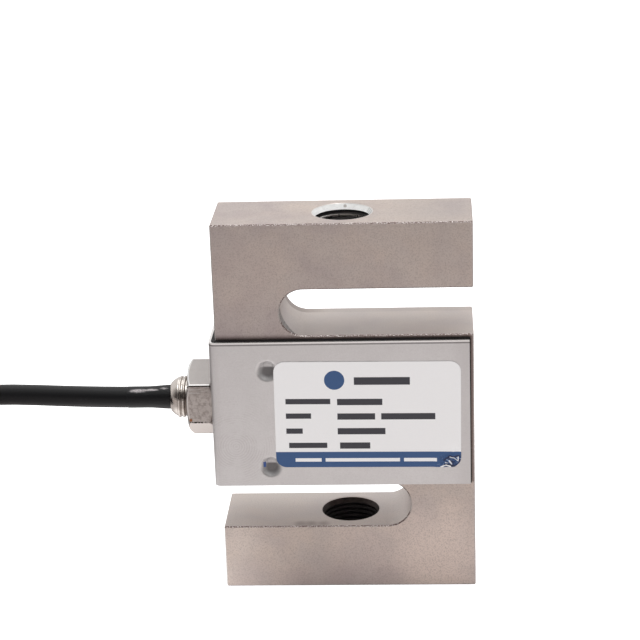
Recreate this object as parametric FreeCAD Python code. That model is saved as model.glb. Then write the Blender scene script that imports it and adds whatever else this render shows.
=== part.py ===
import FreeCAD, Part
import math
import os

from FreeCAD import Vector

# An s type load cell: a one-piece steel beam cut into an S by two slots, a folded
# sheet cover wrapped round its gauged middle, and a cable that leaves by a gland.
# Millimetres. +Z is up along the load axis, X runs along the arms, and the origin
# is on the load axis at the beam's underside. The front is at -Y.

# --- driving dimensions -------------------------------------------------------

# beam
BEAM_WIDTH = 76.2
BEAM_DEPTH = 25.4
ARM_HEIGHT = 20.0
SLOT_HEIGHT = 14.2
BLOCK_HEIGHT = 47.0
SLOT_LENGTH = 56.9  # open side to the crown of the round end
EDGE_BREAK = 0.35  # chamfer on every outer edge
THREAD_RADIUS = 9.0  # M18 x 1.5, wall at the major diameter
MOUTH_BREAK = 0.4  # chamfer at each thread's mouth
POCKET_RADIUS = 15.0  # gauge pocket, one in each face of the block
WEB_THICKNESS = 5.0  # what the two pockets leave between them
LEAD_BORE_RADIUS = 4.75  # from the gland's thread to the pockets
LEAD_BORE_BREAK = 1.5  # how far the lead bore nicks the web

# folded cover
SHEET = 0.8
COVER_GAP = 1.1  # between the beam and the sheet, all round
BEND_RADIUS = 1.8  # outside of the two bends
COVER_HEAD = 1.3  # block left bare above the cover
COVER_FOOT = 0.1  # and below it
LEG_SETBACK = 1.3  # the legs' ends stay short of the beam's open side
DIMPLE_RADIUS = 3.5
DIMPLE_FLAT = 1.4  # radius of the flat that is welded to the beam
DIMPLE_INSET = 15.2  # from the beam's left face
DIMPLE_UPPER = 13.4  # above the block's middle
DIMPLE_LOWER = 17.2  # below it
SEAL_WIDTH = 1.5  # bead under the sheet's edges
SEAL_BULGE = 0.3  # what is squeezed out past the edges

# label
LABEL_WIDTH = 55.7
LABEL_HEIGHT = 33.9
LABEL_CORNER = 3.2
LABEL_THICKNESS = 0.15
LABEL_RIGHT = 6.4  # its middle, right of the load axis
LABEL_DROP = 1.15  # and below the block's middle
LABEL_TILT = 0.7  # degrees, right side down

# cable gland
BUSHING_RADIUS = 6.35
BUSHING_BORE = 4.6
BUSHING_SEAT = 8.0  # depth of its thread in the beam
STUB_LENGTH = 13.8  # stands out of the cover
NOSE_LENGTH = 2.6  # its rounded outer end
NOSE_OPENING = 3.4  # radius of the hole in it, just over the cable's
NOSE_LAND = 0.3  # flat ring round that hole
NOSE_BULGE = 0.35  # how far the nose's curve stands off a cone
NOSE_WALL = 0.8  # thickness of the nose in front of the seal
WEB_HOLE_CLEARANCE = 0.3
NUT_FLATS = 20.2
NUT_HEIGHT = 7.9
NUT_TURN = 7.0  # degrees from a flat square to the front
NUT_CHAMFER = 30.0  # degrees
NUT_LAND = 0.1  # chamfer's start, inside the flats
SEAL_LENGTH = 12.0

# cable
CABLE_RADIUS = 3.25
CABLE_LENGTH = 3000.0
JACKET_INSIDE = 3.0  # jacket past the bushing's inner end
HANK_LENGTH = 99.0
HANK_COLUMNS = 2  # turns side by side
HANK_LAYERS = 6  # turns on top of each other
HANK_FOLD = 20.75  # radius of the innermost turns at the folds
HANK_NEAR = 163.0  # near end, left of the load axis
HANK_BACK = 3.5  # middle, behind the load axis
TIE_WIDTH = 4.8
TIE_THICKNESS = 1.2
TIE_CLEARANCE = 0.1
TIE_HEAD = 0.8  # half its head, to the band's width
TAIL_PAST_TIE = 16.0  # jacket of the last half turn, past the tie
TAIL_SINK = 0.3  # how far that half turn settles into the turns below it
RIDGE_HALF = 2.0  # flat of the tie over a strand, to each side of its middle
CORE_RADIUS = 0.65
CORE_OFFSET = 1.0  # of each core from the cable's axis
CORE_GAP = 0.3  # between the jacket's end and the cores
CORE_DROP = 9.0  # past the jacket's end, where a core meets the hank
CORE_LENGTH = 21.0  # along X, without the tip
CORE_DROP_SPREAD = 0.4  # share of its spread that a core has there
TIP_RADIUS = 0.4
TIP_LENGTH = 6.0
DRAIN_RADIUS = 0.35
DRAIN_DROP = (8.0, -5.5)  # along X and aside, where it meets the hank
DRAIN_END = (18.0, -11.0)
# The free cores: colour, place round the cable's axis in degrees, and how far
# each is bent aside at its tip.
CORES = [("red", 0, 6.5), ("green", 90, 2.5), ("white", 180, -7.0), ("black", 270, -3.5)]
# The free run, from the gland to the hank, after its first point in the beam:
# X, Y and Z from the middle of the gland's bore at the cover.
FREE_RUN = [
    (-35.2, 0.0, 0.0),
    (-78.0, 17.0, -4.5),
    (-112.0, 27.2, -13.5),
    (-144.0, 30.7, -20.65),
]

# gauging, inside the pockets
CARRIER_SIDE = 12.0
CARRIER_THICKNESS = 0.2
GRID_LINES = 5
GRID_HEIGHT = 0.1
COATING_RADIUS = 12.0
COATING_THICKNESS = 1.5
PAD_RADIUS = 8.0
PAD_THICKNESS = 1.0
BOARD_LENGTH = 18.0
BOARD_HEIGHT = 14.0
BOARD_THICKNESS = 1.0
SOLDER_HEIGHT = 0.3
LEAD_RADIUS = 0.45
LEAD_PITCH = 1.2
BRIDGE_RADIUS = 0.2
WIRE_GAP = 0.05  # between a wire and what it lies on
WIRE_CORNER = 0.7  # inside the pocket's rim, where the wires turn
WIRE_LIFT = 0.8  # of its end over a pad, which it reaches on a slant
LEAD_RISE = 3.75  # of the leads at that corner, behind the middle plane
LEAD_START = 0.2  # past the jacket's end
PAD_INSET = 2.0  # of the solder pads from the board's left end
PAD_SIZE = 0.8  # their radius
BRIDGE_SPREAD = 2.9  # of the bridge wires above and below the middle
BRIDGE_PAD_INSET = 1.2  # of their pads from the board's long edges
BRIDGE_START = 0.62  # share of the carrier's side, left of its middle
RESISTOR_START = 1.0  # right of the board's middle
RESISTOR_RADIUS = 0.9
RESISTOR_LENGTH = 4.0
RESISTOR_COUNT = 3

# --- what follows from them ---------------------------------------------------

HEIGHT = 2 * (ARM_HEIGHT + SLOT_HEIGHT) + BLOCK_HEIGHT
LEFT = -BEAM_WIDTH / 2
RIGHT = BEAM_WIDTH / 2
FRONT = -BEAM_DEPTH / 2
BACK = BEAM_DEPTH / 2
SLOT_RADIUS = SLOT_HEIGHT / 2
BLOCK_BOTTOM = ARM_HEIGHT + SLOT_HEIGHT
BLOCK_TOP = BLOCK_BOTTOM + BLOCK_HEIGHT
MIDDLE = BLOCK_BOTTOM + BLOCK_HEIGHT / 2
COVER_BOTTOM = BLOCK_BOTTOM + COVER_FOOT
COVER_TOP = BLOCK_TOP - COVER_HEAD
LEG_END = RIGHT - LEG_SETBACK
WEB_FACE = LEFT - COVER_GAP - SHEET  # outside of the cover's left wall
COVER_FRONT = FRONT - COVER_GAP - SHEET
STUB_END = WEB_FACE - STUB_LENGTH
JACKET_END = LEFT + BUSHING_SEAT + JACKET_INSIDE
HANK_BOTTOM = TIE_THICKNESS + TIE_CLEARANCE
HANK_TOP = HANK_BOTTOM + 2 * CABLE_RADIUS * HANK_LAYERS
HANK_HALF = HANK_FOLD + (2 * HANK_COLUMNS - 1) * CABLE_RADIUS  # half its width
TIE_MIDDLE = -HANK_NEAR - HANK_LENGTH / 2
TAIL_SIDE = HANK_BACK - HANK_FOLD
POCKET_FLOOR = WEB_THICKNESS / 2
COATING_FACE = POCKET_FLOOR + COATING_THICKNESS
BOARD_BACK = COATING_FACE + PAD_THICKNESS
BOARD_FACE = BOARD_BACK + BOARD_THICKNESS

PARTS = "parts"


# --- helpers ------------------------------------------------------------------


def box(low, high):
    """A box between two corners."""
    size = [b - a for a, b in zip(low, high)]
    return Part.makeBox(*size, Vector(*low))


def rod(radius, start, end):
    """A cylinder from one point to another."""
    axis = end - start
    return Part.makeCylinder(radius, axis.Length, start, axis)


def chamfered_bore(radius, grow, bottom, top):
    """A bore's tool along Z, opened out by a chamfer at both ends."""
    tool = rod(radius, Vector(0, 0, bottom), Vector(0, 0, top))
    for mouth, way in ((bottom, 1), (top, -1)):
        cone = Part.makeCone(
            radius + grow, radius, grow, Vector(0, 0, mouth), Vector(0, 0, way)
        )
        tool = tool.fuse(cone)
    return tool


def rounded_path(points):
    """Straight runs joined by tangent arcs, each as large as its two runs allow."""
    edges = []
    radii = []
    start = points[0]
    for before, corner, after in zip(points, points[1:], points[2:]):
        back = before - corner
        ahead = after - corner
        shorter = min(back.Length, ahead.Length)
        half_turn = (math.pi - back.getAngle(ahead)) / 2
        tangent = 0.45 * shorter
        radius = tangent / math.tan(half_turn)
        back.normalize()
        ahead.normalize()
        inward = (back + ahead).normalize()
        middle = corner + inward * (radius / math.cos(half_turn) - radius)
        arc_start = corner + back * tangent
        arc_end = corner + ahead * tangent
        edges.append(Part.LineSegment(start, arc_start).toShape())
        edges.append(Part.Arc(arc_start, middle, arc_end).toShape())
        radii.append(radius)
        start = arc_end
    edges.append(Part.LineSegment(start, points[-1]).toShape())
    return Part.Wire(edges), radii


def tube(radius, points):
    """A round rod that follows the rounded path through the points."""
    path, radii = rounded_path(points)
    ring = Part.Wire(Part.makeCircle(radius, points[0], points[1] - points[0]))
    solid = path.makePipeShell([ring], True, False)
    return solid, path.Length, radii


def mirrored(shape):
    """The shape's copy on the other side of the beam's middle plane."""
    return shape.mirror(Vector(0, 0, 0), Vector(0, 1, 0))


def turned(shape, degrees, about, axis):
    """The shape turned about an axis through a point."""
    copy = shape.copy()
    copy.rotate(about, axis, degrees)
    return copy


def save(name, shape):
    """Write one node's solids, and say how large they are."""
    shape.exportStep(os.path.join(PARTS, name + ".step"))
    print(f"{name}: {len(shape.Solids)} solid(s), {shape.Volume:.1f} mm3")


# --- beam ---------------------------------------------------------------------


def beam_outline():
    """The S as one wire: the upper slot opens right, the lower one left."""
    upper_low, upper_high = BLOCK_TOP, BLOCK_TOP + SLOT_HEIGHT
    lower_low, lower_high = ARM_HEIGHT, BLOCK_BOTTOM
    upper_centre = RIGHT - SLOT_LENGTH + SLOT_RADIUS
    lower_centre = LEFT + SLOT_LENGTH - SLOT_RADIUS

    def at(x, z):
        return Vector(x, FRONT, z)

    def line(a, b):
        return Part.LineSegment(at(*a), at(*b)).toShape()

    def round_end(centre, low, high, side):
        crown = at(centre + side * SLOT_RADIUS, (low + high) / 2)
        return Part.Arc(at(centre, low), crown, at(centre, high)).toShape()

    edges = [
        line((LEFT, 0), (RIGHT, 0)),
        line((RIGHT, 0), (RIGHT, upper_low)),
        line((RIGHT, upper_low), (upper_centre, upper_low)),
        round_end(upper_centre, upper_low, upper_high, -1),
        line((upper_centre, upper_high), (RIGHT, upper_high)),
        line((RIGHT, upper_high), (RIGHT, HEIGHT)),
        line((RIGHT, HEIGHT), (LEFT, HEIGHT)),
        line((LEFT, HEIGHT), (LEFT, lower_high)),
        line((LEFT, lower_high), (lower_centre, lower_high)),
        round_end(lower_centre, lower_low, lower_high, 1),
        line((lower_centre, lower_low), (LEFT, lower_low)),
        line((LEFT, lower_low), (LEFT, 0)),
    ]
    return Part.Wire(edges)


def gauge_pocket():
    """The tool for the front pocket, down to the web."""
    return rod(POCKET_RADIUS, Vector(0, FRONT, MIDDLE), Vector(0, -POCKET_FLOOR, MIDDLE))


def cable_bore():
    """The tool for the gland's thread and the lead bore that meets the pockets."""
    thread_end = LEFT + BUSHING_SEAT
    thread = rod(BUSHING_RADIUS, Vector(LEFT, 0, MIDDLE), Vector(thread_end, 0, MIDDLE))
    lead_end = LEAD_BORE_BREAK - POCKET_RADIUS
    leads = rod(LEAD_BORE_RADIUS, Vector(LEFT, 0, MIDDLE), Vector(lead_end, 0, MIDDLE))
    return thread.fuse(leads)


def beam_body():
    """The S block with its load threads, gauge pockets and cable bore."""
    block = Part.Face(beam_outline()).extrude(Vector(0, BEAM_DEPTH, 0))
    block = block.makeChamfer(EDGE_BREAK, block.Edges)
    tools = [
        chamfered_bore(THREAD_RADIUS, MOUTH_BREAK, 0, ARM_HEIGHT),
        chamfered_bore(THREAD_RADIUS, MOUTH_BREAK, HEIGHT - ARM_HEIGHT, HEIGHT),
        gauge_pocket(),
        mirrored(gauge_pocket()),
        cable_bore(),
    ]
    return block.cut(tools)


# --- cover --------------------------------------------------------------------


def wrap_profile(offset, radius, end):
    """A U in plan that opens right, a given distance outside the beam's faces."""
    x = LEFT - offset
    y = FRONT - offset

    def arc(side):
        centre = Vector(x + radius, side * (-y - radius), 0)
        diagonal = Vector(-1, side, 0).normalize() * radius
        ends = (Vector(-radius, 0, 0), Vector(0, side * radius, 0))
        a, b = [centre + e for e in ends]
        return a, centre + diagonal, b

    rear_low, rear_mid, rear_high = arc(1)
    front_low, front_mid, front_high = arc(-1)
    return [
        Part.LineSegment(Vector(end, y, 0), front_high).toShape(),
        Part.Arc(front_high, front_mid, front_low).toShape(),
        Part.LineSegment(front_low, rear_low).toShape(),
        Part.Arc(rear_low, rear_mid, rear_high).toShape(),
        Part.LineSegment(rear_high, Vector(end, -y, 0)).toShape(),
    ]


def wrap_solid(offset, radius, end, bottom, top):
    """Everything inside a U profile, between two heights."""
    edges = wrap_profile(offset, radius, end)
    y = FRONT - offset
    edges.append(Part.LineSegment(Vector(end, -y, 0), Vector(end, y, 0)).toShape())
    face = Part.Face(Part.Wire(edges))
    face.translate(Vector(0, 0, bottom))
    return face.extrude(Vector(0, 0, top - bottom))


def wrap_shell(outside, inside, radius, end, bottom, top):
    """The wall between two U profiles with one bend centre."""
    outer = wrap_solid(outside, radius, end, bottom, top)
    inner = wrap_solid(inside, radius - outside + inside, end, bottom, top)
    return outer.cut(inner)


def dimple_flank():
    """The S-shaped flank of a pressed dimple, from its rim down to its flat."""
    sunk = COVER_FRONT + COVER_GAP
    third = (DIMPLE_RADIUS - DIMPLE_FLAT) / 2.6
    flank = Part.BezierCurve()
    flank.setPoles(
        [
            Vector(DIMPLE_RADIUS, COVER_FRONT, 0),
            Vector(DIMPLE_RADIUS - third, COVER_FRONT, 0),
            Vector(DIMPLE_FLAT + third, sunk, 0),
            Vector(DIMPLE_FLAT, sunk, 0),
        ]
    )
    return flank.toShape()


def dimple_tools():
    """A disc of sheet pressed in to the beam, and the flat disc that it replaces."""
    inner_face = COVER_FRONT + SHEET
    corners = [
        Vector(DIMPLE_FLAT, COVER_FRONT + COVER_GAP, 0),
        Vector(0, COVER_FRONT + COVER_GAP, 0),
        Vector(0, inner_face + COVER_GAP, 0),
        Vector(DIMPLE_FLAT, inner_face + COVER_GAP, 0),
        Vector(DIMPLE_RADIUS, inner_face, 0),
        Vector(DIMPLE_RADIUS, COVER_FRONT, 0),
    ]
    edges = [Part.LineSegment(a, b).toShape() for a, b in zip(corners, corners[1:])]
    wire = Part.Wire(Part.__sortEdges__(edges + [dimple_flank()]))
    pressed = Part.Face(wire).revolve(Vector(0, 0, 0), Vector(0, 1, 0), 360)
    rim = Vector(0, COVER_FRONT, 0)
    flat = rod(DIMPLE_RADIUS, rim, rim + Vector(0, SHEET, 0))
    return pressed, flat


def wrap_cover():
    """One folded sheet: front leg, left wall and rear leg, dimpled to the beam."""
    gap = COVER_GAP
    cover = wrap_shell(
        gap + SHEET, gap, BEND_RADIUS, LEG_END, COVER_BOTTOM, COVER_TOP
    )
    hole = rod(
        BUSHING_RADIUS + WEB_HOLE_CLEARANCE,
        Vector(WEB_FACE, 0, MIDDLE),
        Vector(LEFT, 0, MIDDLE),
    )
    cover = cover.cut(hole)
    pressed, flat = dimple_tools()
    for height in (MIDDLE + DIMPLE_UPPER, MIDDLE - DIMPLE_LOWER):
        place = Vector(LEFT + DIMPLE_INSET, 0, height)
        for side in (lambda s: s, mirrored):
            cover = cover.cut(side(flat).translated(place))
            cover = cover.fuse(side(pressed).translated(place))
    return cover.removeSplitter()


def cover_seal():
    """The black bead under the sheet's top, bottom and end edges."""
    end = LEG_END + SEAL_BULGE
    top = COVER_TOP + SEAL_BULGE
    radius = BEND_RADIUS - SHEET

    def band(bottom, high):
        solid = wrap_solid(COVER_GAP, radius, end, bottom, high)
        core = box((LEFT, FRONT, bottom), (end, BACK, high))
        return solid.cut(core)

    upper = band(COVER_TOP - SEAL_WIDTH, top)
    lower = band(COVER_BOTTOM, COVER_BOTTOM + SEAL_WIDTH)
    post = box((end - SEAL_WIDTH, FRONT - COVER_GAP, COVER_BOTTOM), (end, FRONT, top))
    return upper.fuse([lower, post, mirrored(post)]).removeSplitter()


def label_plate():
    """The rating label, a rounded film on the cover's front leg."""
    centre = Vector(LABEL_RIGHT, COVER_FRONT, MIDDLE - LABEL_DROP)
    low = centre - Vector(LABEL_WIDTH / 2, LABEL_THICKNESS, LABEL_HEIGHT / 2)
    plate = Part.makeBox(LABEL_WIDTH, LABEL_THICKNESS, LABEL_HEIGHT, low)
    corners = [e for e in plate.Edges if abs(e.tangentAt(e.FirstParameter).y) > 0.9]
    plate = plate.makeFillet(LABEL_CORNER, corners)
    return turned(plate, LABEL_TILT, centre, Vector(0, 1, 0))


# --- gland --------------------------------------------------------------------


def nose_curve(shoulder, tip):
    """The arc from the bushing's cylinder down to its tip, a little outside a cone."""
    along = (tip - shoulder).normalize()
    outward = Vector(along.z, 0, -along.x)
    crown = (shoulder + tip) / 2 + outward * NOSE_BULGE
    return Part.Arc(shoulder, crown, tip).toShape()


def gland_bushing():
    """The hollow threaded bushing, whose rounded nose closes in on the cable."""
    inner_end = LEFT + BUSHING_SEAT
    seal_face = STUB_END + NOSE_WALL
    corners = [
        Vector(STUB_END, 0, NOSE_OPENING + NOSE_LAND),
        Vector(STUB_END, 0, NOSE_OPENING),
        Vector(seal_face, 0, NOSE_OPENING),
        Vector(seal_face, 0, BUSHING_BORE),
        Vector(inner_end, 0, BUSHING_BORE),
        Vector(inner_end, 0, BUSHING_RADIUS),
        Vector(STUB_END + NOSE_LENGTH, 0, BUSHING_RADIUS),
    ]
    edges = [Part.LineSegment(a, b).toShape() for a, b in zip(corners, corners[1:])]
    wire = Part.Wire(Part.__sortEdges__(edges + [nose_curve(corners[-1], corners[0])]))
    bushing = Part.Face(wire).revolve(Vector(0, 0, 0), Vector(1, 0, 0), 360)
    return bushing.translated(Vector(0, 0, MIDDLE))


def gland_lock_nut():
    """The hexagon nut that clamps the cover's left wall, chamfered both sides."""
    corner = NUT_FLATS / math.sqrt(3)
    points = []
    for k in range(7):
        angle = math.radians(NUT_TURN + 30 + 60 * k)
        points.append(
            Vector(WEB_FACE, -corner * math.cos(angle), MIDDLE + corner * math.sin(angle))
        )
    prism = Part.Face(Part.makePolygon(points)).extrude(Vector(-NUT_HEIGHT, 0, 0))
    flat = NUT_FLATS / 2 - NUT_LAND
    reach = corner + NUT_LAND
    drop = (reach - flat) * math.tan(math.radians(NUT_CHAMFER))
    outer = WEB_FACE - NUT_HEIGHT
    section = [
        (WEB_FACE, 0),
        (WEB_FACE, flat),
        (WEB_FACE - drop, reach),
        (outer + drop, reach),
        (outer, flat),
        (outer, 0),
    ]
    wire = Part.makePolygon([Vector(x, y, MIDDLE) for x, y in section + section[:1]])
    turned_form = Part.Face(wire).revolve(Vector(0, 0, MIDDLE), Vector(1, 0, 0), 360)
    nut = prism.common(turned_form)
    bore = rod(BUSHING_RADIUS, Vector(WEB_FACE, 0, MIDDLE), Vector(outer, 0, MIDDLE))
    return nut.cut(bore)


def gland_seal():
    """The rubber sleeve that grips the cable in the bushing."""
    outer = Vector(STUB_END + NOSE_WALL, 0, MIDDLE)
    inner = outer + Vector(SEAL_LENGTH, 0, 0)
    return rod(BUSHING_BORE, inner, outer).cut(rod(CABLE_RADIUS, inner, outer))


# --- cable --------------------------------------------------------------------


def cable_points():
    """The free run's points, from inside the beam to the hank."""
    points = [Vector(JACKET_END, 0, MIDDLE)]
    for x, y, z in FREE_RUN:
        points.append(Vector(WEB_FACE + x, y, MIDDLE + z))
    return points


def hank_ends():
    """Where the hank's two folds have their middles, along X, near one first."""
    return -HANK_NEAR - HANK_HALF, HANK_HALF - HANK_NEAR - HANK_LENGTH


def hank_body():
    """The tied hank's outer shape: a stadium in plan, as high as its layers."""
    near, far = hank_ends()
    rise = Vector(0, 0, HANK_TOP - HANK_BOTTOM)
    feet = [Vector(x, HANK_BACK, HANK_BOTTOM) for x in (near, far)]
    rounds = [rod(HANK_HALF, foot, foot + rise) for foot in feet]
    middle = box(
        (far, HANK_BACK - HANK_HALF, HANK_BOTTOM),
        (near, HANK_BACK + HANK_HALF, HANK_TOP),
    )
    body = middle.fuse(rounds).removeSplitter()
    rims = [e for e in body.Edges if abs(e.tangentAt(e.FirstParameter).z) < 0.1]
    return body.makeChamfer(CABLE_RADIUS / 2, rims)


def tail_end():
    """Where the jacket stops, on top of the hank's front side."""
    return Vector(TIE_MIDDLE + TAIL_PAST_TIE, TAIL_SIDE, HANK_TOP + CABLE_RADIUS)


def hank_tail():
    """The last half turn, on top of the hank: back side, far fold, front side."""
    near, far = hank_ends()
    end = tail_end() - Vector(0, 0, TAIL_SINK)
    fold = Vector(far, HANK_BACK, end.z)
    aside = Vector(0, HANK_FOLD, 0)
    bend = Part.makeTorus(HANK_FOLD, CABLE_RADIUS, fold, Vector(0, 0, 1), 0, 360, 180)
    bend = turned(bend, 90, fold, Vector(0, 0, 1))
    back = rod(CABLE_RADIUS, fold + aside, Vector(near, HANK_BACK, end.z) + aside)
    front = rod(CABLE_RADIUS, fold - aside, end)
    return bend.fuse([back, front])


def cable_hank():
    """The put-away length, with the half turn that lies on it under the tie."""
    return hank_body().fuse(hank_tail())


def cable():
    """The cable from inside the beam to where it runs into the hank."""
    solid, length, radii = tube(CABLE_RADIUS, cable_points())
    shape = solid.cut(hank_body())
    section = math.pi * CABLE_RADIUS**2
    print("cable arcs:", [round(r, 1) for r in radii], "mm radius")
    print(f"cable volume {solid.Volume:.0f}, section times length {section * length:.0f}")
    print(f"free run {length:.0f} mm, whole cable {CABLE_LENGTH:.0f} mm")
    return shape


def tie_section(grow):
    """The tie's loop across the hank, drawn over the tail, grown outwards."""
    half = HANK_HALF + grow
    low = HANK_BOTTOM - grow
    top = HANK_TOP + grow
    ridge = tail_end().z + CABLE_RADIUS + grow
    ridge_half = HANK_FOLD + RIDGE_HALF
    corners = [
        (-half, low),
        (half, low),
        (half, top),
        (ridge_half, ridge),
        (-ridge_half, ridge),
        (-half, top),
    ]
    points = [
        Vector(TIE_MIDDLE - TIE_WIDTH / 2, HANK_BACK + y, z)
        for y, z in corners + corners[:1]
    ]
    loop = Part.Face(Part.makePolygon(points)).extrude(Vector(TIE_WIDTH, 0, 0))
    along = [e for e in loop.Edges if abs(e.tangentAt(e.FirstParameter).x) > 0.9]
    return loop.makeFillet(RIDGE_HALF + grow, along)


def cable_tie():
    """A flat tie round the hank's middle, with its head on top."""
    band = tie_section(TIE_CLEARANCE + TIE_THICKNESS).cut(tie_section(TIE_CLEARANCE))
    under = tail_end().z + CABLE_RADIUS + TIE_CLEARANCE
    half = TIE_WIDTH * TIE_HEAD
    head = box(
        (TIE_MIDDLE - half, HANK_BACK - TIE_WIDTH, under),
        (TIE_MIDDLE + half, HANK_BACK + TIE_WIDTH, under + half),
    )
    return band.fuse(head).removeSplitter()


def core_points(angle, spread):
    """One core's way from the jacket's end down onto the hank."""
    turn = math.radians(angle)
    aside = Vector(0, math.cos(turn), math.sin(turn)) * CORE_OFFSET
    start = tail_end() + aside + Vector(CORE_GAP, 0, 0)
    low = HANK_TOP + CORE_RADIUS + CORE_GAP
    return [
        start,
        Vector(start.x + CORE_DROP, start.y + CORE_DROP_SPREAD * spread, low),
        Vector(start.x + CORE_LENGTH, start.y + spread, low),
    ]


def core_and_tip(angle, spread):
    """An insulated core of the free end, and its tinned tip."""
    points = core_points(angle, spread)
    core = tube(CORE_RADIUS, points)[0]
    way = (points[-1] - points[-2]).normalize()
    tip = rod(TIP_RADIUS, points[-1], points[-1] + way * TIP_LENGTH)
    return core, tip


def shield_drain():
    """The screen's bare drain wire, beside the cores."""
    end = tail_end()
    low = HANK_TOP + DRAIN_RADIUS + CORE_GAP - end.z
    points = [
        end + Vector(CORE_GAP, -CORE_OFFSET, -2 * CORE_OFFSET),
        end + Vector(*DRAIN_DROP, low),
        end + Vector(*DRAIN_END, low),
    ]
    return tube(DRAIN_RADIUS, points)[0]


# --- gauging ------------------------------------------------------------------


def strain_gauge():
    """A shear gauge on the front of the web: a film with two slanted grids."""
    half = CARRIER_SIDE / 2
    floor = -POCKET_FLOOR
    film = box((-half, floor - CARRIER_THICKNESS, -half), (half, floor, half))
    face = floor - CARRIER_THICKNESS
    pitch = half / (GRID_LINES + 1)
    lines = []
    for k in range(GRID_LINES):
        along = half - 1.5 * pitch
        for side in (-1, 1):
            x = side * (k + 1) * pitch
            bar = box((x - pitch / 4, face - GRID_HEIGHT, -along), (x + pitch / 4, face, along))
            lines.append(bar)
    gauge = film.fuse(lines)
    gauge = turned(gauge, 45, Vector(0, 0, 0), Vector(0, 1, 0))
    return gauge.translated(Vector(0, 0, MIDDLE))


def gauge_coating(gauge):
    """The soft coat over the front gauge."""
    start = Vector(0, -POCKET_FLOOR, MIDDLE)
    coat = rod(COATING_RADIUS, start, start - Vector(0, COATING_THICKNESS, 0))
    return coat.cut(gauge)


def board_pad():
    """The adhesive pad between the rear coating and the terminal board."""
    start = Vector(0, COATING_FACE, MIDDLE)
    return rod(PAD_RADIUS, start, start + Vector(0, PAD_THICKNESS, 0))


def pad_places():
    """The middles of the four lead pads, on the board's left side."""
    x = -BOARD_LENGTH / 2 + PAD_INSET
    return [
        Vector(x, BOARD_FACE, MIDDLE + (k - 1.5) * 2 * LEAD_PITCH) for k in range(4)
    ]


def bridge_places():
    """The middles of the two bridge pads, below and above the lead pads."""
    x = -BOARD_LENGTH / 2 + PAD_INSET
    rise = BOARD_HEIGHT / 2 - BRIDGE_PAD_INSET
    return [Vector(x, BOARD_FACE, MIDDLE + side * rise) for side in (-1, 1)]


def terminal_board():
    """The small circuit board in the rear pocket, with raised solder pads."""
    board = box(
        (-BOARD_LENGTH / 2, BOARD_BACK, MIDDLE - BOARD_HEIGHT / 2),
        (BOARD_LENGTH / 2, BOARD_FACE, MIDDLE + BOARD_HEIGHT / 2),
    )
    pads = [
        Part.makeCylinder(PAD_SIZE, SOLDER_HEIGHT, place, Vector(0, 1, 0))
        for place in pad_places() + bridge_places()
    ]
    return board.fuse(pads)


def trim_resistors():
    """The trimming resistors, in a row across the board's right half."""
    y = BOARD_FACE + RESISTOR_RADIUS
    step = BOARD_HEIGHT / (RESISTOR_COUNT + 1)
    solids = []
    for k in range(RESISTOR_COUNT):
        z = MIDDLE - BOARD_HEIGHT / 2 + (k + 1) * step
        start = Vector(RESISTOR_START, y, z)
        solids.append(rod(RESISTOR_RADIUS, start, start + Vector(RESISTOR_LENGTH, 0, 0)))
    return Part.makeCompound(solids)


def lead(index):
    """One core inside the beam, from the jacket's end to its solder pad."""
    pad = pad_places()[index]
    z = MIDDLE + (index - 1.5) * LEAD_PITCH
    side = CORE_OFFSET * (-1) ** index
    over = pad.y + SOLDER_HEIGHT + LEAD_RADIUS + WIRE_LIFT
    points = [
        Vector(JACKET_END + LEAD_START, side, z),
        Vector(WIRE_CORNER - POCKET_RADIUS, LEAD_RISE, z),
        Vector(pad.x, over, pad.z),
    ]
    return tube(LEAD_RADIUS, points)[0]


def bridge_wires():
    """Two fine wires from the front gauge, through the lead bore, to the board."""
    solids = []
    corner = WIRE_CORNER - POCKET_RADIUS
    clear = COATING_FACE + BRIDGE_RADIUS + WIRE_GAP
    for side, pad in zip((-1, 1), bridge_places()):
        z = MIDDLE + side * BRIDGE_SPREAD
        over = pad.y + SOLDER_HEIGHT + BRIDGE_RADIUS + WIRE_LIFT
        points = [
            Vector(-CARRIER_SIDE * BRIDGE_START, -clear, z),
            Vector(corner, -clear, z),
            Vector(corner, clear, z),
            Vector(pad.x, over, pad.z),
        ]
        solids.append(tube(BRIDGE_RADIUS, points)[0])
    return Part.makeCompound(solids)


# --- the whole ----------------------------------------------------------------


def main():
    """Build every piece and write it to its own file."""
    os.makedirs(PARTS, exist_ok=True)
    save("beam_body", beam_body())
    save("wrap_cover", wrap_cover())
    save("cover_seal", cover_seal())
    save("label_plate", label_plate())
    save("gland_bushing", gland_bushing())
    save("gland_lock_nut", gland_lock_nut())
    save("gland_seal", gland_seal())
    save("cable", cable())
    save("cable_hank", cable_hank())
    save("cable_tie", cable_tie())

    tips = []
    for colour, angle, spread in CORES:
        core, tip = core_and_tip(angle, spread)
        save("core_" + colour, core)
        tips.append(tip)
    save("core_tips", Part.makeCompound(tips))
    save("shield_drain", shield_drain())

    gauge = strain_gauge()
    coating = gauge_coating(gauge)
    save("strain_gauge_front", gauge)
    save("strain_gauge_rear", mirrored(gauge))
    save("gauge_coating_front", coating)
    save("gauge_coating_rear", mirrored(coating))
    save("board_pad", board_pad())
    save("terminal_board", terminal_board())
    save("trim_resistors", trim_resistors())
    for index, (colour, _, _) in enumerate(CORES):
        save("lead_" + colour, lead(index))
    save("bridge_wires", bridge_wires())


main()
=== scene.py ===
"""Dresses an s type load cell: satin nickel beam, brushed cover, gland, label and cable."""
import logging
import math
from collections.abc import Callable, Sequence
from dataclasses import dataclass
from enum import Enum

import bmesh
import bpy
from bpy.types import Material, Mesh, Node, NodeSocket, NodeTree, Object
from mathutils import Matrix, Vector, noise


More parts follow.
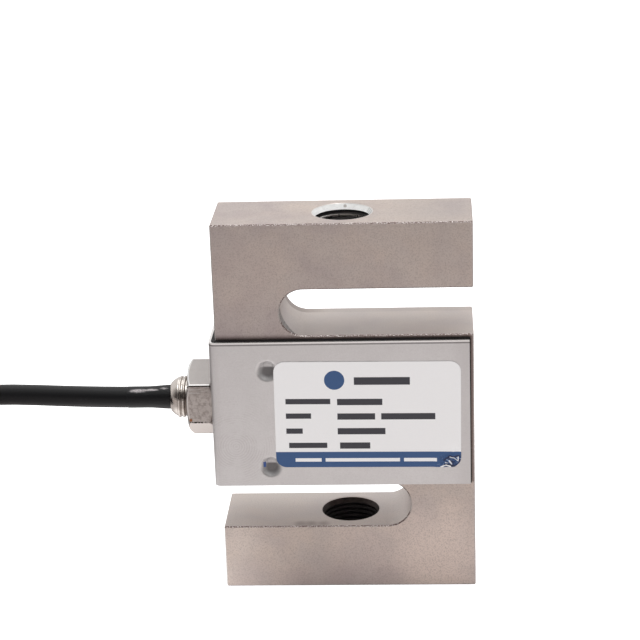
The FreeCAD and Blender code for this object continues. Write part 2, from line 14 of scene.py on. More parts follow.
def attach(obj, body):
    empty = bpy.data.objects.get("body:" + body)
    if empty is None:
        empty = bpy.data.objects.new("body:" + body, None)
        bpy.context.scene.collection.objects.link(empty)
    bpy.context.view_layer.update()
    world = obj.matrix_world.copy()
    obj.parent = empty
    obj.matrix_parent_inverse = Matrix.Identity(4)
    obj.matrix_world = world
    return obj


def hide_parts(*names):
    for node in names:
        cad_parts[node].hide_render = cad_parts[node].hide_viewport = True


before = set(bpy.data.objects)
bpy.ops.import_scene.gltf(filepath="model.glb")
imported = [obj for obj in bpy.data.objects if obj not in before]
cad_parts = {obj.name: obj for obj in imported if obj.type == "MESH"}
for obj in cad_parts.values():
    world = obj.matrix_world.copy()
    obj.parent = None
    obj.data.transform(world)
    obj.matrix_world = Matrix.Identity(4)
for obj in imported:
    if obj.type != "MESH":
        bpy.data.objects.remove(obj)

LOG = logging.getLogger("load_cell")
BODY = "root"
MM = 0.001

FRONT = -12.7 * MM  # the beam's front face
SHEET = -14.6 * MM  # the cover's front face
HEIGHT = 115.4 * MM
ARM = 20.0 * MM
BORE = 9.0 * MM
GLAND_AXIS = 57.7 * MM
NUT_FACE = -47.9 * MM
STUB_ROOT = 5.75 * MM
CABLE_RADIUS = 3.25 * MM
LYING = Matrix.Rotation(-0.5 * math.pi, 4, "Y")  # lays what stands along Z along -X

Colour = tuple[float, float, float]
Point = tuple[float, float, float]
Stops = tuple[tuple[float, Colour], ...]
Inputs = dict[str | int, object]

INSULATION: dict[str, Colour] = {
    "red": (0.50, 0.015, 0.015),
    "green": (0.02, 0.26, 0.06),
    "white": (0.78, 0.78, 0.75),
    "black": (0.02, 0.02, 0.02),
}


# --- node trees ---


def operator(operation: str, reflected: bool = False) -> Callable[..., "Value"]:
    """Make a method of Value that adds one Math node.

    Args:
        operation: What the node works out.
        reflected: Whether the value is the second term.

    Returns:
        The method, which takes the other term if there is one.
    """

    def method(self: "Value", other: "Value | float" = 0.0) -> "Value":
        """Add the node."""
        return self.recipe.maths(operation, *((other, self) if reflected else (self, other)))

    return method


class Value:
    """The output of a node, which takes part in Python expressions as a number."""

    def __init__(self, recipe: "Recipe", socket: NodeSocket) -> None:
        """Keep the socket and the recipe that adds nodes after it."""
        self.recipe = recipe
        self.socket = socket

    __add__ = __radd__ = operator("ADD")
    __sub__ = operator("SUBTRACT")
    __rsub__ = operator("SUBTRACT", reflected=True)
    __mul__ = __rmul__ = operator("MULTIPLY")
    __truediv__ = operator("DIVIDE")
    __gt__ = operator("GREATER_THAN")
    __lt__ = operator("LESS_THAN")
    __abs__ = operator("ABSOLUTE")


class Recipe:
    """Adds nodes to one tree and joins them."""

    def __init__(self, tree: NodeTree) -> None:
        """Start on an emptied tree."""
        self.tree = tree
        tree.nodes.clear()

    def node(self, kind: str, sockets: Inputs | None = None, **settings: object) -> Node:
        """Add one node.

        Args:
            kind: The node's type name.
            sockets: Values or links of its inputs, by name or by number.
            settings: Its own settings, or stops for a ramp's positions and colours.

        Returns:
            The new node.
        """
        node = self.tree.nodes.new(kind)
        for name, setting in settings.items():
            if name == "stops":
                elements = node.color_ramp.elements
                while len(elements) < len(setting):
                    elements.new(0.5)
                for element, (position, colour) in zip(elements, setting):
                    element.position = position
                    element.color = (*colour, 1.0)
            else:
                setattr(node, name, setting)
        for key, value in (sockets or {}).items():
            socket = node.inputs[key]
            if isinstance(value, Value):
                self.tree.links.new(value.socket, socket)
            else:
                socket.default_value = (*value, 1.0) if socket.type == "RGBA" else value
        return node

    def value(
        self, kind: str, output: str | int, sockets: Inputs | None = None, **settings: object
    ) -> Value:
        """Add one node, and give the output of one name or number."""
        return Value(self, self.node(kind, sockets, **settings).outputs[output])

    def maths(self, operation: str, *terms: Value | float) -> Value:
        """Add a Math node."""
        return self.value("ShaderNodeMath", 0, dict(enumerate(terms)), operation=operation)

    def hypot(self, first: Value, second: Value) -> Value:
        """The length of two sides at a right angle."""
        return self.maths("SQRT", first * first + second * second)

    def smooth(self, value: Value, low: float, high: float) -> Value:
        """Rise smoothly from 0 at low to 1 at high, or the other way round."""
        parts = {"Value": value, "From Min": low, "From Max": high}
        return self.value("ShaderNodeMapRange", 0, parts, interpolation_type="SMOOTHSTEP")

    def mix(self, factor: Value | float, first: object, second: object) -> Value:
        """Blend two colours."""
        parts = {0: factor, 6: first, 7: second}
        return self.value("ShaderNodeMix", 2, parts, data_type="RGBA")

    def ramp(self, value: Value, stops: Stops) -> Value:
        """Turn a number into a colour between stops."""
        return self.value("ShaderNodeValToRGB", "Color", {"Fac": value}, stops=stops)

    def axes(self, vector: Value) -> tuple[Value, ...]:
        """Split a vector into its three numbers."""
        node = self.node("ShaderNodeSeparateXYZ", {0: vector})
        return tuple(Value(self, out) for out in node.outputs)

    def vector(self, x: object, y: object, z: object) -> Value:
        """Make a vector of three numbers."""
        return self.value("ShaderNodeCombineXYZ", 0, {0: x, 1: y, 2: z})


class Surface(Recipe):
    """The node tree of one material: coats of colour on a Principled shader."""

    def __init__(self, name: str, colour: Colour) -> None:
        """Make the material, its object coordinates and its first colour."""
        self.material = bpy.data.materials.new(name)
        self.material.use_nodes = True
        super().__init__(self.material.node_tree)
        self.place = self.value("ShaderNodeTexCoord", "Object")
        self.tone: Value | Colour = colour

    def coat(self, strength: Value | float, colour: Value | Colour) -> None:
        """Blend a colour into the surface's own."""
        self.tone = self.mix(strength, self.tone, colour)

    def normal(self) -> tuple[Value, ...]:
        """The surface's own direction, as three numbers."""
        return self.axes(self.value("ShaderNodeNewGeometry", "Normal"))

    def away(self, point: Point, place: Value | None = None) -> Value:
        """How far the surface's place, or another vector, is from a point."""
        parts = {0: place or self.place, 1: point}
        return self.value("ShaderNodeVectorMath", "Value", parts, operation="DISTANCE")

    def stretched(self, scale: Point) -> Value:
        """The place, scaled along each axis."""
        parts = {0: self.place, 1: scale}
        return self.value("ShaderNodeVectorMath", "Vector", parts, operation="MULTIPLY")

    def noise(
        self,
        size: float,
        detail: float = 3.0,
        roughness: float = 0.6,
        distortion: float = 0.0,
        place: Value | None = None,
    ) -> Value:
        """A noise whose patches are about one size, in metres.

        Args:
            size: How large a patch is.
            detail: How many finer layers it has.
            roughness: How strong those layers are.
            distortion: How far the pattern is pulled about.
            place: The coordinates, if not the object's.

        Returns:
            A value from 0 to 1.
        """
        parts = {"Vector": place or self.place, "Scale": 1 / size, "Detail": detail}
        parts |= {"Roughness": roughness, "Distortion": distortion}
        return self.value("ShaderNodeTexNoise", "Fac", parts)

    def streaks(self, scale: Point, *layers: float) -> Value:
        """A drawn-out noise, with so many patches to a metre along each axis."""
        return self.noise(1.0, *layers, place=self.stretched(scale))

    def bump(self, height: Value, depth: float) -> Value:
        """Turn a height from 0 to 1 into a bumped normal, so many metres deep."""
        return self.value("ShaderNodeBump", "Normal", {"Height": height, "Distance": depth})

    def finish(self, **sockets: object) -> Material:
        """Close the tree with a Principled shader of the surface's colour.

        Args:
            sockets: The shader's other inputs, with underscores for spaces.

        Returns:
            The finished material.
        """
        named = {name.replace("_", " "): value for name, value in sockets.items()}
        shader = self.value("ShaderNodeBsdfPrincipled", 0, named | {"Base Color": self.tone})
        self.node("ShaderNodeOutputMaterial", {"Surface": shader})
        return self.material


# --- finishes ---


@dataclass(frozen=True)
class SoftPatch:
    """A soft patch of another colour, used here for painted light, painted shade and marks:
    where it is, how far it reaches, how strong.
    """

    middle: Point
    reach: float
    colour: Colour
    strength: float


@dataclass(frozen=True)
class SatinNickel:
    """Blasted and nickelled steel: soft clouds, bruised edges, soft patches of painted light
    and shade, painted shade in the threaded bores.
    """

    name: str = "satin_nickel"
    colour: Colour = (0.66, 0.575, 0.52)
    plain: Colour = (0.62, 0.56, 0.525)
    mauve: Colour = (0.52, 0.455, 0.445)
    shade: Colour = (0.34, 0.29, 0.27)
    # Dark brown of the bruised edges, also the painted shadow above the cover's sealant bead.
    bruise_and_shadow: Colour = (0.09, 0.04, 0.035)
    burr: Colour = (0.86, 0.83, 0.80)
    chip: Colour = (0.72, 0.68, 0.65)
    # Painted shade colour of the threaded bores.
    bore_shade: Colour = (0.028, 0.024, 0.024)
    rust: Colour = (0.20, 0.10, 0.07)
    pit: Colour = (0.16, 0.12, 0.11)
    cool: Colour = (0.68, 0.66, 0.65)
    gouge: tuple[Colour, Colour] = ((0.14, 0.13, 0.13), (0.34, 0.32, 0.31))
    roughness: float = 0.42
    side: float = 38.0 * MM
    mouth: float = 9.9 * MM
    block: tuple[float, float] = (34.2 * MM, 81.2 * MM)
    lead_in: float = 1.7 * MM
    glint: tuple[float, float] = (3.1 * MM, 4.1 * MM)
    bead: float = 80.2 * MM
    scar: Point = (-18.6 * MM, FRONT, 86.0 * MM)
    scar_length: float = 6.6 * MM
    scar_depth: float = 4.8 * MM
    # Soft patches: the paler warm ones on the fronts are painted light, the greyer ones along
    # the foot are painted shadow, one darkens the top's right end, and the last three are small
    # dark brown marks on the lower arm's top front edge.
    light_shade_and_marks: tuple[SoftPatch, ...] = (
        SoftPatch((0.026, FRONT, 0.010), 24 * MM, (0.86, 0.745, 0.675), 0.85),
        SoftPatch((0.004, FRONT, 0.013), 15 * MM, (0.74, 0.645, 0.60), 0.5),
        SoftPatch((-0.033, FRONT, 0.017), 9 * MM, (0.80, 0.71, 0.64), 0.4),
        SoftPatch((-0.016, FRONT, 0.001), 8 * MM, (0.50, 0.43, 0.43), 0.45),
        SoftPatch((-0.002, FRONT, 0.001), 8 * MM, (0.50, 0.43, 0.43), 0.45),
        SoftPatch((0.012, FRONT, 0.001), 8 * MM, (0.50, 0.43, 0.43), 0.4),
        SoftPatch((-0.030, FRONT, 0.100), 18 * MM, (0.70, 0.60, 0.54), 0.4),
        SoftPatch((0.028, 0.0, HEIGHT), 22 * MM, (0.47, 0.43, 0.42), 0.4),
        SoftPatch((-0.030, FRONT, 0.002), 11 * MM, (0.50, 0.43, 0.42), 0.45),
        SoftPatch((-0.0150, -0.0109, 0.0212), 3.1 * MM, (0.20, 0.13, 0.11), 0.9),
        SoftPatch((-0.0115, -0.0109, 0.0212), 3.3 * MM, (0.20, 0.13, 0.11), 0.9),
        SoftPatch((-0.0080, -0.0109, 0.0212), 3.1 * MM, (0.20, 0.13, 0.11), 0.9),
    )

    def skin(self, s: Surface) -> Value:
        """Lay on the plain finish, and give its grain."""
        grain = s.noise(0.4 * MM, 3.0, 0.7)
        cloud = s.smooth(s.noise(26 * MM, 3.0, 0.55), 0.36, 0.66)
        patch = s.noise(7 * MM)
        s.coat(cloud, self.mauve)
        s.coat(0.5 * s.smooth(patch, 0.35, 0.65), self.plain)
        # Painted light and painted shadow, with a few marks, laid as soft patches.
        for soft_patch in self.light_shade_and_marks:
            away = s.away(soft_patch.middle) + 0.5 * soft_patch.reach * (patch - 0.5)
            near = s.smooth(away, soft_patch.reach, 0.2 * soft_patch.reach)
            s.coat(soft_patch.strength * near, soft_patch.colour)
        s.coat(0.47 * s.smooth(grain, 0.42, 0.72), self.shade)
        pit = s.smooth(s.noise(0.9 * MM, 2.0), 0.7, 0.8)
        s.coat(0.4 * pit, self.pit)
        return grain

    def slots(self, s: Surface, across: Value) -> None:
        """Add the slot walls' cooler tone, a darker band along the upper slot's rear edge and
        the mill's scar in one.
        """
        x, y, z = s.axes(s.place)
        low, high = self.block
        upper = (z > (high - 0.2 * MM)) * (z < (HEIGHT - ARM + 0.2 * MM))
        lower = (z < (low + 0.2 * MM)) * (z > (ARM - 0.2 * MM))
        walls = (upper + lower) * (across < 0.3) * (abs(x) < self.side)
        rear = s.smooth(y, -FRONT - 4.2 * MM, -FRONT - 3.8 * MM)
        rear = rear * (0.3 + 0.7 * s.smooth(x, -4 * MM, -14 * MM))
        s.coat(0.35 * walls, self.cool)
        s.coat(0.65 * walls * upper * rear, self.shade)
        away = s.away(self.scar, s.vector(x, self.scar[1], z)) / self.scar_length
        reach = (1 - away * away) * self.scar_depth + FRONT
        scar = walls * s.smooth(y - reach, 0.3 * MM, -0.1 * MM)
        gouge = s.noise(0.5 * MM, 3.0, 0.7)
        s.coat(0.85 * scar, s.mix(s.smooth(gouge, 0.4, 0.6), *self.gouge))

    def make(self) -> Material:
        """Build the material."""
        s = Surface(self.name, self.colour)
        x, y, z = s.axes(s.place)
        _, facing, lift = s.normal()
        across = abs(facing)
        grain = self.skin(s)
        self.slots(s, across)
        # Painted shadow: front and back faces darken below a soft edge 1.8 mm over the cover's
        # sealant bead, down to the block's foot.
        shadow_above_bead = s.smooth(z, self.bead + 1.8 * MM, self.bead) * (z > self.block[0])
        s.coat(0.6 * shadow_above_bead * (across > 0.9), self.bruise_and_shadow)

        away = s.hypot(x, y)
        edge = s.smooth(across * (1 - across), 0.14, 0.2) * (away > self.mouth)
        chips = s.smooth(s.noise(0.3 * MM, 3.0, 0.7), 0.6, 0.48)
        chips = chips * (0.35 + 0.65 * s.smooth(abs(lift), 0.15, 0.35))
        s.coat(edge, s.mix(chips, self.chip, self.bruise_and_shadow))

        inside = s.smooth(away, BORE + 0.15 * MM, BORE + 0.05 * MM)
        above = z > (HEIGHT - ARM - 0.3 * MM)
        below = z < (ARM + 0.3 * MM)
        sunk = HEIGHT - z
        lip = s.smooth(sunk, self.lead_in - 0.1 * MM, self.lead_in + 0.1 * MM)
        scuffed = s.streaks((900.0, 200.0, 200.0), 2.0)
        glint = (sunk > self.glint[0]) * (sunk < self.glint[1]) * s.smooth(scuffed, 0.36, 0.46)
        # Painted shade: the upper bore below its lead-in, all but the glint band, and the lower
        # bore below its mouth go nearly black, matt and unmetallic, standing in for the shade
        # of the bore's near edge and of the block above.
        shaded_bore = above * lip * (1 - glint) + below * s.smooth(z, ARM, ARM - 0.5 * MM)
        shaded_bore = shaded_bore * inside
        polished = inside * above * (1 - lip)
        s.coat(inside * above, self.burr)
        s.coat(shaded_bore, self.bore_shade)
        line = abs(z - (ARM - 1.0 * MM)) < (0.2 * MM)
        s.coat(0.7 * inside * line, self.rust)
        return s.finish(
            Metallic=(1 - 0.8 * edge * chips) * (1 - shaded_bore),
            Roughness=self.roughness + 0.12 * grain - 0.1 * polished + 0.3 * shaded_bore,
            Normal=s.bump(grain, 0.04 * MM),
        )


@dataclass(frozen=True)
class BrushedSheet:
    """Cool satin sheet, with faint arcs of brushing and scattered hair scratches."""

    name: str = "brushed_sheet"
    colour: Colour = (0.78, 0.775, 0.775)
    shade: Colour = (0.56, 0.54, 0.54)
    # Colour of the painted shade in the dimples and of the dark line under the top edge.
    painted_shade: Colour = (0.10, 0.09, 0.09)
    hair: Colour = (0.3, 0.27, 0.26)
    # Painted highlight along the sheet's top edge.
    edge_highlight: Colour = (0.93, 0.92, 0.91)
    blue: Colour = (0.05, 0.10, 0.28)
    roughness: float = 0.36
    left: float = -40.0 * MM
    top: float = 79.9 * MM
    bend: float = 3.4 * MM
    arc_middle: Point = (-0.033, SHEET, 0.047)
    arc_reach: float = 19 * MM
    arc_pitch: float = 0.75 * MM
    flake: Point = (-0.0248, SHEET, 0.0409)
    dimples: tuple[float, float] = (71.1 * MM, 40.5 * MM)
    dimple_middle: float = -22.6 * MM
    dimple_radius: float = 3.4 * MM

    def brushing(self, s: Surface) -> Value:
        """Arcs left by a brush, where they are still seen."""
        reach = s.away(self.arc_middle)
        wave = s.maths("SINE", reach * (math.tau / self.arc_pitch))
        near = s.smooth(reach, self.arc_reach, 0.3 * self.arc_reach)
        broken = s.smooth(s.noise(4 * MM, 2.0, 0.5), 0.4, 0.6)
        return near * broken * (0.5 + 0.5 * wave)

    def dimpled(self, s: Surface) -> tuple[Value, Value]:
        """Painted shade in the lower half of each dimple with a faint ring above its middle,
        and the duller metal all round it.
        """
        x, y, z = s.axes(s.place)
        painted_shade: Value | float = 0.0
        pressed: Value | float = 0.0
        for height in self.dimples:
            place = s.vector(x, SHEET, z)
            away = s.away((self.dimple_middle, SHEET, height - 0.4 * MM), place)
            low = s.smooth(z, height + 1.2 * MM, height + 0.6 * MM)
            # Painted shade: the lower flank and lower flat of each dimple.
            pool = s.smooth(away, self.dimple_radius, 1.3 * MM) * low
            pressed = s.smooth(away, 3.7 * MM, 2.2 * MM) + pressed
            # Painted shade: a faint ring above each dimple's middle.
            ring_centre = s.away((self.dimple_middle, SHEET, height + 1.5 * MM), place)
            ring = s.smooth(abs(ring_centre - 1.4 * MM), 0.35 * MM, 0.1 * MM) * (1 - low)
            painted_shade = pool + 0.22 * ring + painted_shade
        outside = abs(y) < (MM - SHEET)
        return painted_shade * outside, pressed * outside

    def make(self) -> Material:
        """Build the material."""
        s = Surface(self.name, self.colour)
        x, y, z = s.axes(s.place)
        grain = s.noise(0.4 * MM)
        cloud = s.noise(10 * MM, 2.0, 0.5)
        arcs = self.brushing(s)
        s.coat(0.45 * grain + 0.3 * cloud + 0.3 * arcs, self.shade)
        hair = s.streaks((260.0, 1.0, 2600.0), 2.0, 0.5, 0.6)
        scratch = s.smooth(abs(hair - 0.5), 0.006, 0.0)
        s.coat(0.25 * scratch, self.hair)

        streak = s.streaks((1600.0, 900.0, 40.0), 2.0)
        # Painted shade: the sheet darkens towards its right end.
        s.coat(0.4 * s.smooth(x, 30 * MM, 36 * MM), self.shade)
        bent = s.smooth(x, self.left + self.bend, self.left + 0.5 * self.bend)
        s.coat(0.5 * bent * streak, self.shade)
        sunk = self.top - z
        # Painted highlight: a bright line along the sheet's top edge; painted shade: a dark
        # line 0.75 mm under it.
        edge_highlight = (sunk < (0.45 * MM)) * s.smooth(sunk, -0.1 * MM, 0.0)
        s.coat(edge_highlight, self.edge_highlight)
        line = s.smooth(abs(sunk - 0.75 * MM), 0.3 * MM, 0.15 * MM)
        s.coat(0.65 * line, self.painted_shade)
        painted_shade, pressed = self.dimpled(s)
        # Painted shade in the dimples.
        s.coat(0.86 * painted_shade, self.painted_shade)
        spot = (abs(x - self.flake[0]) < (0.4 * MM)) * (abs(z - self.flake[2]) < (0.9 * MM))
        spot = spot * (y < 0.0)
        s.coat(spot, self.blue)
        return s.finish(
            Metallic=(1 - spot) * (1 - 0.5 * painted_shade),
            Roughness=self.roughness + 0.1 * grain - 0.05 * arcs + 0.22 * pressed,
            Normal=s.bump(0.6 * grain + 0.4 * arcs, 0.02 * MM),
        )


@dataclass(frozen=True)
class HandledNickel:
    """Nickel-plated brass that has been gripped: smears, scratches, a rust dot."""

    name: str
    colour: Colour = (0.70, 0.66, 0.62)
    smear: Colour = (0.38, 0.32, 0.28)
    # Colour of real soiling and painted shade in the thread's roots.
    dirt_and_shade: Colour = (0.10, 0.07, 0.055)
    rub: Colour = (0.25, 0.21, 0.19)
    rust: Colour = (0.20, 0.06, 0.02)
    roughness: float = 0.09
    neck: float = -51.2 * MM

    def make(self) -> Material:
        """Build the material."""
        s = Surface(self.name, self.colour)
        film = s.noise(5 * MM, 4.0)
        fine = s.noise(0.3 * MM, 2.0)
        drag = s.streaks((220.0, 900.0, 3200.0))
        s.coat(s.smooth(film, 0.4, 0.7) * 0.6 + 0.2 * fine, self.smear)
        s.coat(0.5 * s.smooth(drag, 0.62, 0.72), self.rub)
        x, y, z = s.axes(s.place)
        up = z - GLAND_AXIS
        # Real soiling and painted shade in the thread's roots, except along the top.
        sunk = s.smooth(s.hypot(y, up), STUB_ROOT + 0.4 * MM, STUB_ROOT + 0.1 * MM)
        sunk = sunk * s.smooth(x, self.neck - 0.3 * MM, self.neck)
        sunk = sunk * s.smooth(up, 2.6 * MM, 1.6 * MM)
        s.coat(0.8 * sunk, self.dirt_and_shade)
        rust = s.smooth(s.noise(2.2 * MM, 2.0, 0.5), 0.72, 0.78)
        s.coat(rust, self.rust)
        return s.finish(
            Metallic=1 - 0.8 * rust,
            Roughness=self.roughness + 0.08 * film + 0.3 * rust + 0.25 * sunk,
            Normal=s.bump(drag + fine, 0.02 * MM),
        )


@dataclass(frozen=True)
class GrippedNut:
    """A nut's nickel: upper flats darkened as painted shade, painted highlights on the
    chamfer's strip and the upper corners with painted shade beside them, streaks, dark dots and
    a rust dot.
    """

    name: str = "nut_nickel"
    colour: Colour = (0.68, 0.63, 0.60)
    # Painted shade: the colour of the flats that face up.
    dull: Colour = (0.32, 0.31, 0.305)
    smear: Colour = (0.30, 0.245, 0.22)
    # Colour of the streaks and of the painted highlights on the upper corners.
    bright: Colour = (0.74, 0.73, 0.72)
    # Painted highlight of the chamfer's strip on the side flats.
    pale: Colour = (0.92, 0.88, 0.85)
    # Painted highlight of the chamfer's strip on the flats that face up.
    edge: Colour = (0.50, 0.495, 0.49)
    cone: Colour = (0.40, 0.38, 0.365)
    # Colour of the dark dots, and of the painted shade beside the corners.
    dirt_and_shade: Colour = (0.06, 0.05, 0.045)
    rust: Colour = (0.26, 0.09, 0.025)
    roughness: float = 0.33
    first_corner: float = math.radians(37)
    corner_width: float = 0.035
    rust_place: Point = (-0.0468, -0.0104, 0.0541)
    rust_size: float = 0.75 * MM
    outer_radius: float = 10.0 * MM
    bevel_slope: float = 1.73

    def make(self) -> Material:
        """Build the material."""
        s = Surface(self.name, self.colour)
        x, y, z = s.axes(s.place)
        aside, _, lift = s.normal()
        mottle = s.noise(1.1 * MM, 4.0, 0.7)
        fine = s.noise(0.3 * MM, 2.0)
        drag = s.streaks((150.0, 900.0, 2600.0))
        s.coat(0.62 * s.smooth(mottle, 0.42, 0.68), self.smear)
        s.coat(0.5 * s.smooth(drag, 0.6, 0.7), self.smear)
        s.coat(s.smooth(lift, -0.3, -0.6), self.colour)
        brushed = s.mix(0.4 * fine, self.dull, self.smear)
        up = z - GLAND_AXIS
        # Painted highlight: a strip just inside the chamfer's edge stands in for a wider lit
        # chamfer.
        edge = (x - NUT_FACE) * self.bevel_slope + self.outer_radius
        strip = s.smooth(s.hypot(y, up) - edge, -0.9 * MM, -0.6 * MM)
        strip = strip * s.smooth(aside, -0.3, -0.1)
        brushed = s.mix(strip, brushed, self.edge)
        # Painted shade: the flats that face up take the darker colour, with a painted highlight
        # strip along the chamfer.
        s.coat(s.smooth(lift, 0.5, 0.8), brushed)
        s.coat(0.8 * strip * (abs(lift) < 0.5), self.pale)

        s.coat(0.9 * s.smooth(aside, -0.15, -0.35), self.cone)
        turn = s.maths("ARCTAN2", up, y * -1.0)
        sector = s.maths("FRACT", (turn - self.first_corner) / (math.pi / 3) + 6.0)
        worn = s.smooth(turn, 0.26, 0.5) * (turn < 0.65)
        s.coat(0.3 * worn, self.smear)
        streak = s.streaks((200.0, 900.0, 3600.0))
        s.coat(0.6 * worn * s.smooth(streak, 0.5, 0.62), self.bright)
        wobble = sector + 0.03 * (drag - 0.5)
        # Painted highlight on the upper corners, and painted shade in a dark line just before
        # each; the lower corners get dark dots.
        upper = (z > GLAND_AXIS) * (turn < 1.2)
        corner = wobble < self.corner_width
        s.coat(corner * upper, self.bright)
        s.coat(s.smooth(sector, 0.955, 0.98) * upper, self.dirt_and_shade)
        dots = s.smooth(s.noise(0.9 * MM, 3.0, 0.7), 0.46, 0.54)
        s.coat(corner * (z < GLAND_AXIS) * dots, self.dirt_and_shade)
        away = s.away(self.rust_place) + 0.6 * MM * (mottle - 0.5)
        rust = s.smooth(away, self.rust_size, 0.3 * MM)
        s.coat(rust, self.rust)
        return s.finish(
            Metallic=1 - 0.8 * rust,
            Roughness=self.roughness + 0.2 * mottle + 0.3 * rust,
            Normal=s.bump(drag + fine, 0.02 * MM),
        )


@dataclass(frozen=True)
class TurnedCone:
    """A turned cone, pale by default as a painted highlight, with the tool's fine rings and one
    ding.
    """

    name: str = "turned_cone"
    # Painted highlight: near white and all but unmetallic, so the cone shows as bright as the
    # turned metal's reflection.
    colour: Colour = (0.97, 0.96, 0.94)
    groove: Colour = (0.40, 0.35, 0.32)
    stained: Colour = (0.08, 0.07, 0.05)
    pitch: float = 0.32 * MM
    ding: Point = (0.0005, 0.0088, 0.1145)
    ding_size: float = 0.7 * MM
    roughness: float = 0.38
    bare: float = 0.05
    stain: Point = (0.0086, 0.0025, 0.1148)

    def make(self) -> Material:
        """Build the material."""
        s = Surface(self.name, self.colour)
        _, _, z = s.axes(s.place)
        worn = s.noise(1.4 * MM)
        wave = s.maths("SINE", (z + 0.1 * MM * worn) * (math.tau / self.pitch))
        rings = s.smooth(wave, 0.2, 1.0)
        s.coat(0.45 * rings * s.smooth(worn, 0.4, 0.6), self.groove)
        away = s.away(self.ding) + 0.5 * MM * (worn - 0.5)
        s.coat(0.8 * s.smooth(away, self.ding_size, 0.3 * MM), self.groove)
        near = s.smooth(s.away(self.stain), 3.6 * MM, 1.2 * MM)
        s.coat(0.85 * near * s.smooth(wave, 0.0, 0.8), self.stained)
        return s.finish(
            Metallic=self.bare,
            Roughness=self.roughness + 0.1 * worn,
            Normal=s.bump(rings, 0.01 * MM),
        )


@dataclass(frozen=True)
class Polymer:
    """A moulded or extruded plastic or rubber, with a fine skin and a few scuffs."""

    name: str
    colour: Colour
    roughness: float = 0.5
    grain: float = 0.4 * MM
    scuff: Colour = (0.5, 0.5, 0.5)
    wear: float = 0.04
    shine: float = 0.5

    def make(self) -> Material:
        """Build the material."""
        s = Surface(self.name, self.colour)
        skin = s.noise(self.grain)
        cloud = s.noise(12 * MM, 3.0, 0.5)
        rubbed = s.smooth(cloud * 0.6 + skin * 0.4, 0.56, 0.7)
        s.coat(self.wear * rubbed, self.scuff)
        return s.finish(
            Roughness=self.roughness + 0.15 * skin - 0.1 * rubbed,
            Specular_IOR_Level=self.shine,
            Normal=s.bump(skin, 0.03 * MM),
        )


@dataclass(frozen=True)
class SmearAndHighlight:
    """One pale patch on the sealant, smear and painted highlight in one: where it is and how
    long and wide.
    """

    middle: Point
    long: float
    wide: float


@dataclass(frozen=True)
class SmearedSealant:
    """Glossy black sealant with pale patches along its upper front, thumbed smear and painted
    highlight in one.
    """

    name: str = "smeared_sealant"
    colour: Colour = (0.005, 0.005, 0.006)
    smear: Colour = (0.52, 0.48, 0.485)
    smears_and_highlights: tuple[SmearAndHighlight, ...] = (
        SmearAndHighlight((-0.0635, -0.00185, 0.0605), 3.0 * MM, 0.9 * MM),
        SmearAndHighlight((-0.0595, -0.0017, 0.0608), 2.2 * MM, 0.6 * MM),
        SmearAndHighlight((-0.0557, -0.0015, 0.0612), 1.5 * MM, 0.6 * MM),
    )

    def make(self) -> Material:
        """Build the material."""
        s = Surface(self.name, self.colour)
        drag = s.streaks((300.0, 900.0, 1500.0), 4.0, 0.65)
        patch: Value | float = 0.0
        for smear_and_highlight in self.smears_and_highlights:
            scale = (1 / smear_and_highlight.long, 1 / smear_and_highlight.wide, 1 / smear_and_highlight.wide)
            middle = tuple(a * b for a, b in zip(smear_and_highlight.middle, scale))
            away = s.away(middle, s.stretched(scale)) + 1.6 * (drag - 0.5)
            patch = 0.9 * s.smooth(away, 1.1, 0.3) + patch
        patch = patch * (0.5 + 0.5 * s.smooth(s.noise(0.6 * MM, 3.0, 0.7), 0.4, 0.55))
        # Smear and painted highlight: pale patches along the upper front.
        s.coat(patch, self.smear)
        return s.finish(
            Roughness=0.38 + 0.1 * drag,
            Specular_IOR_Level=0.28,
            Normal=s.bump(drag, 0.1 * MM),
        )


@dataclass(frozen=True)
class WireMetal:
    """Bare strands or foil: bright metal with the lay of its strands."""

    name: str
    colour: Colour
    strand: float = 0.25 * MM
    roughness: float = 0.28

    def make(self) -> Material:
        """Build the material."""
        s = Surface(self.name, self.colour)
        x, y, z = s.axes(s.place)
        lay = s.maths("SINE", (x + y + z) * (math.tau / self.strand))
        dull = s.noise(1.5 * MM)
        s.coat(0.4 * dull, tuple(0.45 * c for c in self.colour))
        return s.finish(
            Metallic=1.0,
            Roughness=self.roughness + 0.25 * dull,
            Normal=s.bump(0.5 + 0.5 * lay, 0.03 * MM),
        )


@dataclass(frozen=True)
class Bar:
    """One plain printed bar on the label, in millimetres from its middle."""

    left: float
    right: float
    height: float
    tall: float


@dataclass(frozen=True)
class Crease:
    """One crease: millimetre points from the low right corner, half its width, its colour."""

    points: tuple[tuple[float, float], ...]
    half: float
    colour: Colour


